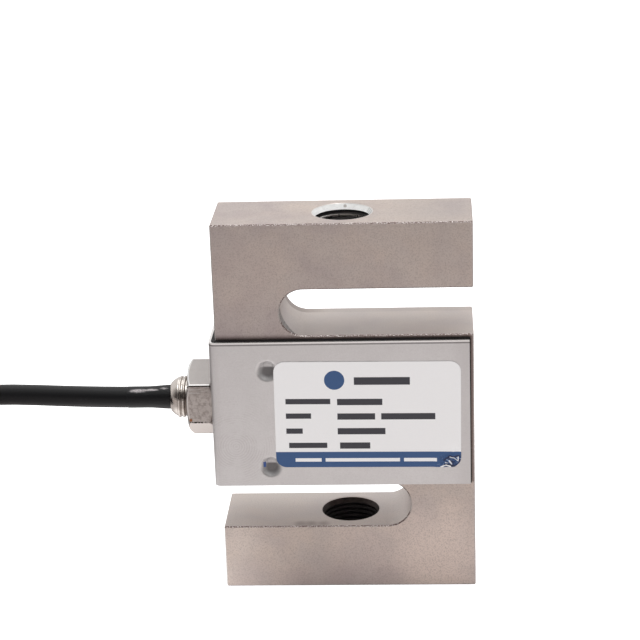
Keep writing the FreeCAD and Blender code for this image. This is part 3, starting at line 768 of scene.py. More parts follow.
@dataclass(frozen=True)
class PrintedFilm:
    """White film with plain dark bars and a blue band, torn at one corner."""

    middle: Point
    tilt: float
    width: float
    height: float
    name: str = "printed_film"
    colour: Colour = (0.84, 0.83, 0.83)
    fibre: Colour = (0.62, 0.62, 0.63)
    tear: Colour = (0.012, 0.02, 0.07)
    ink: Colour = (0.035, 0.035, 0.045)
    blue: Colour = (0.026, 0.080, 0.21)
    band_top: float = -11.8 * MM
    bars: tuple[Bar, ...] = (
        Bar(-3.9, 12.6, 10.7, 2.4),
        Bar(-24.3, -11.0, 4.3, 1.7),
        Bar(-9.0, 4.4, 4.1, 2.0),
        Bar(-24.3, -16.8, -0.3, 1.7),
        Bar(-9.0, 2.2, -0.5, 2.0),
        Bar(4.0, 20.0, -0.5, 2.0),
        Bar(-24.3, -19.4, -5.1, 1.7),
        Bar(-9.0, 5.2, -5.2, 2.0),
        Bar(-23.6, -12.2, -9.7, 1.7),
        Bar(-8.4, 0.6, -9.8, 2.0),
    )
    band_bars: tuple[Bar, ...] = (
        Bar(-21.8, -14.0, -14.4, 1.1),
        Bar(-12.8, 9.4, -14.4, 1.1),
        Bar(10.6, 20.4, -14.4, 1.1),
    )
    disc: Point = (-9.7, 11.0, 3.0)
    creases: tuple[Crease, ...] = (
        Crease(((-5.1, 2.2), (-3.4, 3.5), (-2.3, 3.3), (-0.7, 3.6)), 0.30, (0.012, 0.02, 0.07)),
        Crease(((-4.9, 0.8), (-2.0, 0.4)), 0.30, (0.012, 0.02, 0.05)),
        Crease(((-3.4, 3.2), (-2.26, 3.0), (-1.13, 2.2)), 0.14, (0.80, 0.80, 0.82)),
        Crease(((-0.85, 3.2), (-0.94, 2.1)), 0.16, (0.80, 0.80, 0.82)),
        Crease(((-3.6, 2.0), (-2.9, 1.1)), 0.27, (0.76, 0.76, 0.78)),
        Crease(((-4.7, 1.5), (-4.15, 1.4)), 0.16, (0.66, 0.68, 0.72)),
        Crease(((-4.3, 2.5), (-3.6, 1.8)), 0.13, (0.25, 0.36, 0.55)),
        Crease(((-6.0, 0.1), (-4.6, 0.6), (-3.2, 0.2)), 0.22, (0.84, 0.83, 0.83)),
    )

    def marks(self, s: Surface, along: Value, up: Value, bars: Sequence[Bar]) -> Value:
        """Where some bars are."""
        mask: Value | float = 0.0
        for bar in bars:
            middle = 0.5 * (bar.right + bar.left) * MM
            beside = abs(along - middle) - 0.5 * (bar.right - bar.left) * MM
            over = abs(up - bar.height * MM) - 0.5 * bar.tall * MM
            mask = (s.maths("MAXIMUM", beside, over) < 0.0) + mask
        return mask

    def crease(self, s: Surface, along: Value, up: Value, crease: Crease) -> Value:
        """Where one crease runs.

        Args:
            s: The surface.
            along: How far right of the low right corner, in millimetres.
            up: How far above that corner, in millimetres.
            crease: The crease.

        Returns:
            1 on the crease, and 0 beside it.
        """
        mask: Value | float = 0.0
        for (x0, z0), (x1, z1) in zip(crease.points, crease.points[1:]):
            run, rise = x1 - x0, z1 - z0
            square = run * run + rise * rise
            share = (along - x0) * (run / square) + (up - z0) * (rise / square)
            share = s.maths("MINIMUM", s.maths("MAXIMUM", share, 0.0), 1.0)
            side, over = along - x0 - share * run, up - z0 - share * rise
            near = s.smooth(s.hypot(side, over), crease.half, 0.6 * crease.half)
            mask = s.maths("MAXIMUM", near, mask)
        return mask

    def make(self) -> Material:
        """Build the material."""
        s = Surface(self.name, self.colour)
        x, _, z = s.axes(s.place)
        across, rise = x - self.middle[0], z - self.middle[2]
        cos, sin = math.cos(self.tilt), math.sin(self.tilt)
        along = across * cos - rise * sin
        up = across * sin + rise * cos
        fibre = s.noise(0.5 * MM)
        s.coat(0.12 * fibre, self.fibre)
        s.coat(self.marks(s, along, up, self.bars), self.ink)
        x0, z0, radius = (v * MM for v in self.disc)
        s.coat(s.hypot(along - x0, up - z0) < radius, self.blue)
        band = s.smooth(up, self.band_top + 0.1 * MM, self.band_top - 0.1 * MM)
        s.coat(band, self.blue)
        s.coat(self.marks(s, along, up, self.band_bars), self.colour)
        right = s.smooth(along, 0.5 * self.width - 8 * MM, 0.5 * self.width - 3 * MM)
        low = s.smooth(up, 4.5 * MM - 0.5 * self.height, 2.5 * MM - 0.5 * self.height)
        torn = right * low
        shred = s.noise(0.9 * MM, 4.0, 0.7, 1.5)
        s.coat(0.6 * torn * s.smooth(shred, 0.6, 0.66), self.colour)
        s.coat(torn * s.smooth(shred, 0.56, 0.44), self.tear)
        corner_x = along * 1000 - 500 * self.width
        corner_z = up * 1000 + 500 * self.height
        wobble = 0.5 * (shred - 0.5)
        for crease in self.creases:
            s.coat(self.crease(s, corner_x + wobble, corner_z - wobble, crease), crease.colour)
        return s.finish(
            Roughness=0.42 + 0.15 * fibre,
            Coat_Weight=0.12 * (1 - torn),
            Normal=s.bump(fibre, 0.01 * MM),
        )


# --- studio ---


def add_object(name: str, data: bpy.types.ID) -> Object:
    """Make an object and link it into the scene."""
    made = bpy.data.objects.new(name, data)
    bpy.context.scene.collection.objects.link(made)
    return made


@dataclass
class Studio:
    """Camera, lamps, world and floor."""

    eye: Point = (0.02772, -0.57479, 0.27886)
    aim: Point = (-0.00760, 0.0, 0.08171)
    roll: float = math.radians(1.93)
    lens: float = 114.33
    soft_light: Colour = (0.89, 0.90, 0.91)
    front_room: Stops = (
        (0.0, (0.90, 0.88, 0.87)),
        (0.49, (0.30, 0.26, 0.24)),
        (0.53, (0.06, 0.052, 0.05)),
        (0.82, (0.06, 0.055, 0.053)),
        (0.88, (0.70, 0.69, 0.68)),
        (1.0, (0.88, 0.87, 0.86)),
    )
    back_room: Stops = (
        (0.0, (0.86, 0.85, 0.84)),
        (0.5, (0.88, 0.86, 0.85)),
        (0.75, (0.88, 0.86, 0.85)),
        (0.93, (0.78, 0.77, 0.76)),
        (1.0, (0.84, 0.83, 0.82)),
    )
    floor_half: float = 3.0
    floor_seen: Colour = (0.9, 0.9, 0.9)
    floor_mirrored: Colour = (0.565, 0.525, 0.512)
    glow_seen: Colour = (0.55, 0.55, 0.55)
    glow_mirrored: Colour = (0.26, 0.245, 0.24)
    glow_middle: Point = (0.05, -0.14, 0.0)
    glow_reach: float = 0.24
    # Painted light: a glowing pool on the floor beside the nut, seen off the camera's rays.
    light_pool_colour: Colour = (0.74, 0.74, 0.74)
    light_pool_middle: Point = (-0.07, -0.01, 0.0)
    light_pool_reach: float = 0.06
    lamp_side: float = 0.9
    lamp_aim: Point = (0.0, 0.0, 0.05)
    key: tuple[Point, float] = ((0.3, -0.3, 1.4), 6.0)
    fill: tuple[Point, float] = ((-0.3, 0.5, 1.3), 3.0)

    def camera(self) -> None:
        """Place the camera."""
        data = bpy.data.cameras.new("camera")
        data.lens = self.lens
        data.sensor_width = 36.0
        data.clip_start = 0.01
        ahead = (Vector(self.aim) - Vector(self.eye)).normalized()
        level = ahead.cross(Vector((0, 0, 1))).normalized()
        lift = level.cross(ahead)
        right = level * math.cos(self.roll) - lift * math.sin(self.roll)
        turn = Matrix((right, right.cross(ahead), -ahead)).transposed().to_4x4()
        camera = add_object("camera", data)
        camera.matrix_world = Matrix.Translation(self.eye) @ turn
        bpy.context.scene.camera = camera

    def lamp(self, name: str, place: Point, watts: float) -> None:
        """Hang one square lamp that faces the part."""
        data = bpy.data.lights.new(name, "AREA")
        data.shape = "SQUARE"
        data.size = self.lamp_side
        data.energy = watts
        lamp = add_object(name, data)
        ahead = Vector(self.lamp_aim) - Vector(place)
        lamp.rotation_euler = ahead.to_track_quat("-Z", "Y").to_euler()
        lamp.location = place

    def world(self) -> None:
        """White to the camera, a room with a dark front to the metal."""
        world = bpy.data.worlds.new("room")
        world.use_nodes = True
        r = Recipe(world.node_tree)
        _, depth, height = r.axes(r.value("ShaderNodeTexCoord", "Generated"))
        up = 0.5 + 0.5 * height
        front, back = r.ramp(up, self.front_room), r.ramp(up, self.back_room)
        room = r.mix(r.smooth(depth, 0.3, -0.5), back, front)
        lit = r.mix(r.value("ShaderNodeLightPath", "Is Glossy Ray"), self.soft_light, room)
        seen = r.mix(r.value("ShaderNodeLightPath", "Is Camera Ray"), lit, (1.0, 1.0, 1.0))
        sky = r.value("ShaderNodeBackground", 0, {"Color": seen, "Strength": 1.0})
        r.node("ShaderNodeOutputWorld", {"Surface": sky})
        bpy.context.scene.world = world

    def floor(self) -> Object:
        """A pale floor that stays white to the camera and keeps a soft shadow."""
        half = self.floor_half
        mesh = bpy.data.meshes.new("floor")
        corners = [(-half, -half, 0), (half, -half, 0), (half, half, 0), (-half, half, 0)]
        mesh.from_pydata(corners, [], [(0, 1, 2, 3)])
        s = Surface("pale_floor", self.floor_mirrored)
        direct = s.value("ShaderNodeLightPath", "Is Camera Ray")
        s.coat(direct, self.floor_seen)
        near = s.smooth(s.away(self.glow_middle), self.glow_reach, 0.0)
        glow = s.mix(near, (0.0, 0.0, 0.0), self.glow_mirrored)
        # Painted light: a pool of glow on the floor beside the nut, for reflections and bounce
        # light only.
        patch = s.smooth(s.away(self.light_pool_middle), self.light_pool_reach, 0.4 * self.light_pool_reach)
        glow = s.mix(patch, glow, self.light_pool_colour)
        glow = s.mix(direct, glow, self.glow_seen)
        dull = {"Roughness": 1.0, "Specular_IOR_Level": 0.0, "Emission_Strength": 1.0}
        mesh.materials.append(s.finish(Emission_Color=glow, **dull))
        return add_object("floor", mesh)

    def build(self) -> None:
        """Set up the whole studio."""
        self.camera()
        self.world()
        self.floor()
        self.lamp("key", *self.key)
        self.lamp("fill", *self.fill)
        bpy.context.scene.view_settings.view_transform = "Standard"


# --- cable ---


def smoothstep(share: float) -> float:
    """Ease from 0 to 1."""
    share = min(1.0, max(0.0, share))
    return share * share * (3 - 2 * share)


@dataclass
class CableRun:
    """The cable: out of the gland, down to the floor, and put away as a tied hank."""

    radius: float = CABLE_RADIUS
    length: float = 3.0
    exit: Point = (-0.0538, 0.0, 0.0577)
    run: tuple[Point, ...] = (
        (-0.0271, 0.0, 0.0577),
        (-0.0538, 0.0, 0.0577),
        (-0.0752, 0.0, 0.0577),
        (-0.1180, 0.0170, 0.0532),
        (-0.1520, 0.0272, 0.0442),
        (-0.1840, 0.0307, 0.03705),
    )
    near_fold: float = -0.1935
    far_fold: float = -0.2315
    middle: float = 3.5 * MM
    inner: float = 20.75 * MM
    layers: int = 6
    low: float = 4.55 * MM
    fold_steps: int = 7
    tail: float = -0.1965

    def lap(self, radius: float) -> list[Point]:
        """One turn's points in plan, and how far round it each is.

        Args:
            radius: The turn's radius at its folds.

        Returns:
            X, Y and the share of the turn, from the back side's near end.
        """
        near, far = self.near_fold, self.far_fold
        reach = radius / math.cos(math.pi / (2 * self.fold_steps))
        straight = near - far
        whole = 2 * (straight + math.pi * radius)
        points: list[Point] = []
        for start, end, side, done in ((near, far, 1, 0.0), (far, near, -1, 0.5)):
            y = self.middle + side * radius
            points += [(start, y, done), (end, y, done + straight / whole)]
            for k in range(self.fold_steps):
                angle = math.pi * (k + 0.5) / self.fold_steps
                x = end - side * reach * math.sin(angle)
                y = self.middle + side * reach * math.cos(angle)
                points.append((x, y, done + (straight + angle * radius) / whole))
        return points

    def hank(self) -> list[Point]:
        """The hank's turns: down the outer column, then up the inner one."""
        pitch = 2 * self.radius
        top = self.low + (self.layers - 1) * pitch
        points: list[Point] = []
        for turn in range(2 * self.layers):
            down = turn < self.layers
            radius = self.inner + pitch if down else self.inner
            last = turn == self.layers - 1
            level = turn if down else 2 * self.layers - 1 - turn
            rise = 0.0 if last else pitch * (-1 if down else 1)
            for x, y, share in self.lap(radius):
                drift = smoothstep((share - 0.78) / 0.22)
                if last:
                    pull = 1 - drift * pitch / radius
                    y = self.middle + (y - self.middle) * pull
                    x = self.near_fold + (x - self.near_fold) * pull if drift else x
                points.append((x, y, top - level * pitch + rise * drift))
        crown = top + pitch
        points += [(x, y, crown) for x, y, share in self.lap(self.inner) if share <= 0.5]
        points.append((self.tail, self.middle - self.inner, crown))
        return points

    def build(self, finish: Material) -> Object:
        """Lay the cable as one spline."""
        curve = bpy.data.curves.new("cable_run", "CURVE")
        curve.dimensions = "3D"
        curve.bevel_depth = self.radius
        curve.bevel_resolution = 5
        curve.resolution_u = 5
        curve.use_fill_caps = True
        spline = curve.splines.new("NURBS")
        points = list(self.run) + self.hank()
        spline.points.add(len(points) - 1)
        for target, point in zip(spline.points, points):
            target.co = (*point, 1.0)
        spline.order_u = 3
        spline.use_endpoint_u = True
        curve.materials.append(finish)
        return add_object("cable_run", curve)


# --- grown pieces ---


def hand_over(piece: Object) -> Object:
    """Let a piece ride on the body."""
    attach(piece, BODY)
    LOG.info("built %s", piece.name)
    return piece


class Socket(Enum):
    """The kinds of input that a tree of geometry nodes takes here."""

    NUMBER = "NodeSocketFloat"
    FINISH = "NodeSocketMaterial"
    SHAPE = "NodeSocketGeometry"


class Grower(Recipe):
    """A tree of geometry nodes that grows a piece, with named numbers as its inputs."""

    def __init__(self, name: str, labels: Sequence[str]) -> None:
        """Make the tree and its inputs."""
        super().__init__(bpy.data.node_groups.new(name, "GeometryNodeTree"))
        sides = self.tree.interface
        sides.new_socket("Shape", in_out="OUTPUT", socket_type=Socket.SHAPE.value)
        inputs = {"Seed": Socket.SHAPE} | dict.fromkeys(labels, Socket.NUMBER)
        inputs["Finish"] = Socket.FINISH
        for label, kind in inputs.items():
            sides.new_socket(label, in_out="INPUT", socket_type=kind.value)
        group = self.node("NodeGroupInput")
        self.given = {label: Value(self, group.outputs[label]) for label in inputs}

    def close(self, shape: Value) -> None:
        """Realize what was grown, give it its finish and end the tree."""
        real = self.value("GeometryNodeRealizeInstances", 0, {0: shape})
        parts = {"Geometry": real, "Material": self.given["Finish"]}
        self.node("NodeGroupOutput", {0: self.value("GeometryNodeSetMaterial", 0, parts)})

    def grow(self, seed: Mesh, slot: str, place: Matrix, **values: object) -> Object:
        """Run the tree on a mesh and keep the result as a plain mesh.

        Args:
            seed: The mesh that the tree starts from, which may be empty.
            slot: Not used.
            place: Where the result goes.
            values: The inputs' values, by name.

        Returns:
            The piece, at the origin.
        """
        piece = add_object(seed.name, seed)
        modifier = piece.modifiers.new("grow", "NODES")
        modifier.node_group = self.tree
        for item in self.tree.interface.items_tree:
            if item.in_out == "INPUT" and item.name in values:
                modifier[item.identifier] = values[item.name]
        graph = bpy.context.evaluated_depsgraph_get()
        grown = bpy.data.meshes.new_from_object(piece.evaluated_get(graph))
        piece.modifiers.clear()
        piece.data = grown
        grown.transform(place)
        work = bmesh.new()
        work.from_mesh(grown)
        bmesh.ops.remove_doubles(work, verts=work.verts, dist=1e-6)
        write(work, grown)
        return hand_over(piece)


class ThreadGrower(Grower):
    """Grows a screw thread's ridge: a tapering spiral with a trapezoid section."""

    def __init__(self) -> None:
        """Build the tree."""
        labels = ("Radius", "Pitch", "Turns", "Depth", "Root", "Crest", "Runout")
        super().__init__("screw_thread", labels)
        radius, pitch, turns, depth, root, crest, runout = map(self.given.get, labels)
        parts = {"Start Radius": radius, "End Radius": radius, "Height": turns * pitch}
        parts |= {"Resolution": 40, "Rotations": turns}
        spiral = self.value("GeometryNodeCurveSpiral", 0, parts)
        upright = self.value("GeometryNodeSetCurveNormal", 0, {0: spiral}, mode="Z_UP")
        along = self.value("GeometryNodeSplineParameter", "Factor")
        ends = self.maths("MINIMUM", along, 1 - along) * turns
        size = self.maths("MINIMUM", ends / runout + 0.02, 1.0)
        form = "GeometryNodeCurvePrimitiveQuadrilateral"
        parts = {"Height": abs(depth), "Bottom Width": root, "Top Width": crest, "Offset": 0.0}
        section = self.value(form, 0, parts, mode="TRAPEZOID")
        parts = {
            "Geometry": section,
            "Rotation": self.vector(0.0, 0.0, self.maths("SIGN", depth) * (0.5 * math.pi)),
            "Translation": self.vector(depth * -0.5, 0.0, 0.0),
        }
        stood = self.value("GeometryNodeTransform", 0, parts)
        parts = {"Curve": upright, "Profile Curve": stood, "Scale": size, "Fill Caps": True}
        self.close(self.value("GeometryNodeCurveToMesh", 0, parts))


class ToothGrower(Grower):
    """Grows crosswise teeth along a closed line."""

    def __init__(self) -> None:
        """Build the tree."""
        labels = ("Pitch", "Width", "Thickness", "Height")
        super().__init__("tie_teeth", labels)
        pitch, width, thickness, height = map(self.given.get, labels)
        line = self.value("GeometryNodeMeshToCurve", 0, {0: self.given["Seed"]})
        parts = {"Curve": line, "Length": pitch}
        spaced = self.value("GeometryNodeResampleCurve", 0, parts, mode="LENGTH")
        along = self.value("GeometryNodeInputTangent", 0)
        turned = self.value("FunctionNodeAlignRotationToVector", 0, {"Vector": along}, axis="Y")
        size = self.vector(width, thickness, height)
        tooth = self.value("GeometryNodeMeshCube", 0, {"Size": size})
        parts = {"Points": spaced, "Instance": tooth, "Rotation": turned}
        self.close(self.value("GeometryNodeInstanceOnPoints", 0, parts))


# --- sub-assemblies ---


def write(work: bmesh.types.BMesh, mesh: Mesh) -> None:
    """Turn the faces outwards, and write them into a mesh."""
    bmesh.ops.recalc_face_normals(work, faces=work.faces)
    work.to_mesh(mesh)
    work.free()


def place_piece(mesh: Mesh, finish: Material) -> Object:
    """Make an object of a mesh, in its finish, and hand it to the frame."""
    mesh.materials.append(finish)
    return hand_over(add_object(mesh.name, mesh))


def revolve(
    name: str, section: Sequence[tuple[float, float]], height: float, steps: int = 96
) -> Mesh:
    """Turn a section about an axis along X.

    Args:
        name: The mesh's name.
        section: X and radius of the closed section's corners.
        height: How high the axis is.
        steps: How many facets a turn has.

    Returns:
        A closed mesh with smooth round faces.
    """
    mesh = bpy.data.meshes.new(name)
    work = bmesh.new()
    rings = []
    for k in range(steps):
        angle = math.tau * k / steps
        cos, sin = math.cos(angle), math.sin(angle)
        rings.append([work.verts.new((x, r * cos, height + r * sin)) for x, r in section])
    for ring, after in zip(rings, rings[1:] + rings[:1]):
        for k in range(len(section)):
            face = work.faces.new((ring[k - 1], ring[k], after[k], after[k - 1]))
            face.smooth = True
    write(work, mesh)
    mesh.set_sharp_from_angle(angle=math.radians(28))
    return mesh


@dataclass
class Gland:
    """The threaded stub, its screw thread, and the sealant collar on the cable."""

    height: float = GLAND_AXIS
    inner_end: float = -30.1 * MM
    nut_face: float = NUT_FACE
    stub_end: float = -53.8 * MM
    major: float = 6.35 * MM
    root: float = STUB_ROOT
    bore: float = 4.6 * MM
    nose: float = 2.6 * MM
    nose_opening: float = 3.4 * MM
    nose_tip: float = 3.7 * MM
    nose_wall: float = 0.8 * MM
    nose_steps: int = 8
    pitch: float = 1.27 * MM
    cable_radius: float = CABLE_RADIUS
    collar_length: float = 13.0 * MM
    collar_steps: int = 11
    overlap: float = 0.02 * MM

    def stub(self, finish: Material) -> Object:
        """The bushing's body, with a rounded nose that closes in on the cable."""
        section = [(self.inner_end, self.bore), (self.inner_end, self.major)]
        section += [(self.nut_face, self.major), (self.nut_face, self.root)]
        rise = self.root + 0.3 * MM - self.nose_tip
        for k in range(self.nose_steps + 1):
            share = 1 - k / self.nose_steps
            bulge = 0.5 * share + 0.5 * math.sqrt(1 - (1 - share) ** 2)
            section.append((self.stub_end + share * self.nose, self.nose_tip + bulge * rise))
        lip = self.stub_end + self.nose_wall
        section += [(self.stub_end, self.nose_opening), (lip, self.nose_opening)]
        section.append((lip, self.bore))
        stub = place_piece(revolve("gland_stub", section, self.height), finish)
        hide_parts("gland_bushing")
        return stub

    def thread(self, grower: ThreadGrower, finish: Material) -> None:
        """The thread's ridge on the stub."""
        neck = self.stub_end + self.nose - 0.5 * MM
        grower.grow(
            bpy.data.meshes.new("gland_thread"),
            "gland_metal",
            Matrix.Translation((self.nut_face, 0, self.height)) @ LYING,
            Radius=self.root - self.overlap,
            Pitch=self.pitch,
            Turns=(self.nut_face - neck) / self.pitch,
            Depth=self.major - self.root,
            Root=0.95 * self.pitch,
            Crest=0.42 * self.pitch,
            Runout=0.5,
            Finish=finish,
        )

    def collar(self, finish: Material) -> Object:
        """Sealant drawn out along the cable from the stub's nose."""
        slim = self.cable_radius + 0.03 * MM
        inner = self.cable_radius - 0.1 * MM
        start = self.stub_end + 0.5 * self.nose_wall
        section = [(start, inner), (start, self.nose_opening - self.overlap)]
        rise = self.nose_tip - slim
        for k in range(self.collar_steps + 1):
            share = k / self.collar_steps
            swell = 0.08 * MM * math.sin(9.0 * share) * (1 - share)
            radius = slim + rise * (1 - share) ** 3 + swell
            section.append((self.stub_end - share * self.collar_length, radius))
        section.append((self.stub_end - self.collar_length - 0.2 * MM, inner))
        return place_piece(revolve("cable_collar", section, self.height, 64), finish)


@dataclass
class LoadThreads:
    """The internal screw threads of the two arms."""

    radius: float = BORE
    pitch: float = 1.5 * MM
    depth: float = 0.81 * MM
    arm: float = ARM
    height: float = HEIGHT
    inset: float = 0.7 * MM
    lead_in: float = 1.9 * MM

    def build(self, grower: ThreadGrower, finish: Material) -> None:
        """Grow both threads."""
        for name, foot, upper_inset in (
            ("lower_thread_ridge", 0.0, self.inset),
            ("upper_thread_ridge", self.height - self.arm, self.lead_in),
        ):
            grower.grow(
                bpy.data.meshes.new(name),
                "nickelled_steel",
                Matrix.Translation((0, 0, foot + self.inset)),
                Radius=self.radius + 0.02 * MM,
                Pitch=self.pitch,
                Turns=(self.arm - self.inset - upper_inset) / self.pitch,
                Depth=-self.depth,
                Root=0.98 * self.pitch,
                Crest=0.2 * self.pitch,
                Runout=0.6,
                Finish=finish,
            )


@dataclass
class MouthRing:
    """One turned ring in the mouth of a load thread, in millimetres."""

    name: str
    top: float
    outer: float
    wide: float
    narrow: float
    depth: float

    def build(self, finish: Material) -> Object:
        """Turn the ring about the thread's axis."""
        section = [(0.0, self.outer), (0.0, self.wide), (-self.depth, self.narrow)]
        section.append((-self.depth - 0.2, self.outer))
        mesh = revolve(self.name, [(x * MM, r * MM) for x, r in section], 0.0)
        mesh.transform(Matrix.Translation((0, 0, self.top * MM)) @ LYING)
        return place_piece(mesh, finish)


@dataclass
class RatingLabel:
    """The rating label: a rounded film whose lower right corner is crumpled."""

    width: float = 55.2 * MM
    height: float = 33.5 * MM
    corner: float = 3.2 * MM
    thickness: float = 0.12 * MM
    middle: Point = (6.5 * MM, SHEET, 56.9 * MM)
    tilt: float = math.radians(0.4)
    fine: float = 0.3 * MM
    coarse: float = 1.6 * MM
    corner_steps: int = 6
    fold_steps: int = 10
    crumple: float = 7.0 * MM
    ripple: float = 1.3 * MM
    fold: float = 0.55 * MM

    def stops(self, half: float) -> list[float]:
        """Where the film's grid lines are along one side, finer near the fold at its end."""
        first, last = self.corner_steps, self.fold_steps
        lines = [-half + self.corner * k / first for k in range(first + 1)]
        position = lines[-1]
        end = half - self.corner
        while position < end:
            position += self.fine if half - position < 1.3 * self.crumple else self.coarse
            lines.append(min(position, end))
        return lines + [end + self.corner * (k + 1) / last for k in range(last)]

    def rounded(self, x: float, z: float) -> tuple[float, float]:
        """Move a grid point of a corner square onto the rounded corner."""
        inner_x = 0.5 * self.width - self.corner
        inner_z = 0.5 * self.height - self.corner
        over_x, over_z = abs(x) - inner_x, abs(z) - inner_z
        if over_x <= 0 or over_z <= 0:
            return x, z
        shrink = max(over_x, over_z) / math.hypot(over_x, over_z)
        new_x = math.copysign(inner_x + over_x * shrink, x)
        return new_x, math.copysign(inner_z + over_z * shrink, z)

    def lift(self, x: float, z: float) -> float:
        """How far the film stands off the sheet."""
        away = math.hypot((x - 0.5 * self.width) / 1.25, z + 0.5 * self.height)
        near = smoothstep(1.25 - away / self.crumple)
        ripple = noise.fractal(Vector((x, 0, z)) / self.ripple, 0.9, 2.2, 3)
        return max(0.0, near * self.fold * (0.55 + 0.75 * ripple))

    def build(self, finish: Material) -> Object:
        """Build the film with its thickness."""
        columns = self.stops(0.5 * self.width)
        work = bmesh.new()
        grid = []
        for z in reversed(self.stops(0.5 * self.height)):
            line = [self.rounded(x, -z) for x in columns]
            points = [(x, -self.thickness - self.lift(x, z), z) for x, z in line]
            grid.append([work.verts.new(point) for point in points])
        for lower, upper in zip(grid, grid[1:]):
            for k in range(len(columns) - 1):
                face = work.faces.new((lower[k], lower[k + 1], upper[k + 1], upper[k]))
                face.smooth = True
        bmesh.ops.remove_doubles(work, verts=work.verts, dist=1e-7)
        bmesh.ops.solidify(work, geom=work.faces, thickness=-0.9 * self.thickness)
        mesh = bpy.data.meshes.new("rating_label")
        write(work, mesh)
        mesh.set_sharp_from_angle(angle=math.radians(50))
        turn = Matrix.Rotation(self.tilt, 4, "Y")
        mesh.transform(Matrix.Translation(self.middle) @ turn)
        label = place_piece(mesh, finish)
        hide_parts("label_plate")
        return label


@dataclass
class TieTeeth:
    """The crosswise teeth along the cable tie's band."""

    middle: float = -212.5 * MM
    back: float = 3.5 * MM
    half: float = 30.5 * MM
    low: float = 1.3 * MM
    top: float = 40.3 * MM
    ridge: float = 46.8 * MM
    ridge_half: float = 22.75 * MM
    bend: float = 2.0 * MM
    bend_steps: int = 6
    cover: float = 1.3 * MM
    pitch: float = 1.5 * MM
    width: float = 3.2 * MM
    thickness: float = 0.8 * MM
    height: float = 0.5 * MM

    def line(self) -> list[Point]:
        """The band's outer line, rounded at its corners."""
        grow = self.cover
        half = self.half + grow
        corners = [(half, self.low - grow), (half, self.top + grow)]
        corners.append((self.ridge_half, self.ridge + grow))
        corners += [(-y, z) for y, z in reversed(corners)]
        radius = self.bend + grow
        line: list[Point] = []
        for k, corner in enumerate(corners):
            here = Vector(corner)
            back = (Vector(corners[k - 1]) - here).normalized()
            ahead = (Vector(corners[(k + 1) % len(corners)]) - here).normalized()
            half_turn = 0.5 * (math.pi - back.angle(ahead))
            centre = here + (back + ahead).normalized() * (radius / math.cos(half_turn))
            start = here + back * (radius * math.tan(half_turn)) - centre
            whole = 2 * half_turn * (1 if back.cross(ahead) < 0 else -1)
            for step in range(self.bend_steps + 1):
                spoke = start.copy()
                spoke.rotate(Matrix.Rotation(whole * step / self.bend_steps, 2))
                y, z = centre + spoke
                line.append((self.middle, self.back + y, z))
        return line

    def build(self, grower: ToothGrower, finish: Material) -> Object:
        """Grow the teeth along the band."""
        line = self.line()
        mesh = bpy.data.meshes.new("tie_teeth")
        mesh.from_pydata(line, [(k, (k + 1) % len(line)) for k in range(len(line))], [])
        return grower.grow(
            mesh,
            "tie_nylon",
            Matrix.Identity(4),
            Pitch=self.pitch,
            Width=self.width,
            Thickness=self.thickness,
            Height=self.height,
            Finish=finish,
        )


# --- dressing ---


def dress(finish: Material, *nodes: str) -> None:
    """Give nodes of the frame their material."""
    for node in nodes:
        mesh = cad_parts[node].data
        mesh.materials.clear()
        mesh.materials.append(finish)
        LOG.info("dressed %s in %s", node, finish.name)


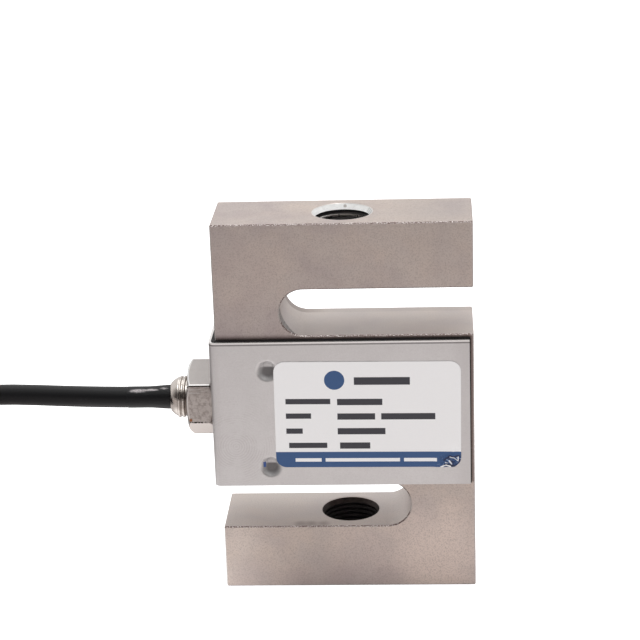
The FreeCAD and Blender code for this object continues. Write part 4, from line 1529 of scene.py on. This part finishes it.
def dress_small_parts() -> None:
    """Give the cover's, the board's and the cable's small parts their materials."""
    gel = Polymer("gel_coating", (0.72, 0.72, 0.69), 0.25)
    gauge = Polymer("gauge_film", (0.50, 0.26, 0.05), 0.3)
    table: dict[BrushedSheet | GrippedNut | Polymer | WireMetal, tuple[str, ...]] = {
        BrushedSheet(): ("wrap_cover",),
        Polymer("sealant_black", (0.007, 0.006, 0.006), 0.5, shine=0.3): ("cover_seal",),
        gel: ("label_plate", "gauge_coating_front", "gauge_coating_rear"),
        GrippedNut(): ("gland_lock_nut",),
        Polymer("seal_rubber", (0.018, 0.018, 0.018), 0.6): ("gland_seal",),
        WireMetal("tinned_strands", (0.74, 0.73, 0.70)): ("core_tips", "shield_drain"),
        gauge: ("strain_gauge_front", "strain_gauge_rear"),
        Polymer("foam_pad", (0.55, 0.55, 0.52), 0.8): ("board_pad",),
        Polymer("green_board", (0.03, 0.20, 0.08), 0.35): ("terminal_board",),
        Polymer("resistor_lacquer", (0.25, 0.38, 0.55), 0.3): ("trim_resistors",),
        WireMetal("enamelled_copper", (0.62, 0.24, 0.09)): ("bridge_wires",),
    }
    for shade, colour in INSULATION.items():
        plastic = Polymer(f"insulation_{shade}", colour, 0.35)
        table[plastic] = (f"core_{shade}", f"lead_{shade}")
    for finish, nodes in table.items():
        dress(finish.make(), *nodes)


def clear_defaults() -> None:
    """Remove what an untouched Blender file holds."""
    for name in ("Cube", "Light", "Camera"):
        left = bpy.data.objects.get(name)
        if left is not None:
            bpy.data.objects.remove(left)


def main() -> None:
    """Build the scene."""
    logging.basicConfig(level=logging.INFO, format="%(message)s")
    clear_defaults()
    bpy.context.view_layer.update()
    Studio().build()

    steel = SatinNickel().make()
    nickel = HandledNickel("gland_nickel").make()
    jacket = Polymer("cable_jacket", (0.005, 0.005, 0.006), 0.36, shine=0.28).make()
    nylon = Polymer("tie_nylon", (0.02, 0.02, 0.02), 0.45).make()
    dress(steel, "beam_body")
    dress(nickel, "gland_bushing")
    dress(jacket, "cable", "cable_hank")
    dress(nylon, "cable_tie")
    dress_small_parts()

    run = CableRun()
    cord = run.build(jacket)
    hand_over(cord)
    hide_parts("cable", "cable_hank")

    threads = ThreadGrower()
    gland = Gland()
    gland.stub(nickel)
    gland.thread(threads, nickel)
    collar = gland.collar(SmearedSealant().make())
    LoadThreads().build(threads, steel)
    # Painted shade: the lower lead-in is a turned cone painted nearly black, as the block above
    # shades the lower bore.
    shaded_bore_cone = TurnedCone("bored_steel", (0.10, 0.085, 0.08), (0.03, 0.025, 0.025), bare=0.9)
    MouthRing("upper_land", 115.37, 9.37, 8.98, 8.9, 0.1).build(steel)
    # Painted highlight: the upper lead-in is the pale turned cone.
    MouthRing("upper_lead_in", 115.35, 9.03, 9.0, 8.2, 1.7).build(TurnedCone().make())
    MouthRing("lower_land", 19.97, 9.37, 8.86, 8.8, 0.1).build(steel)
    MouthRing("lower_lead_in", 19.93, 9.02, 8.85, 8.2, 1.5).build(shaded_bore_cone.make())
    label = RatingLabel()
    label.build(PrintedFilm(label.middle, label.tilt, label.width, label.height).make())
    teeth = TieTeeth().build(ToothGrower(), nylon)

    on_cord = ["cable_tie", "core_tips", "shield_drain"]
    on_cord += [f"core_{shade}" for shade in INSULATION]


if __name__ == "__main__":
    main()
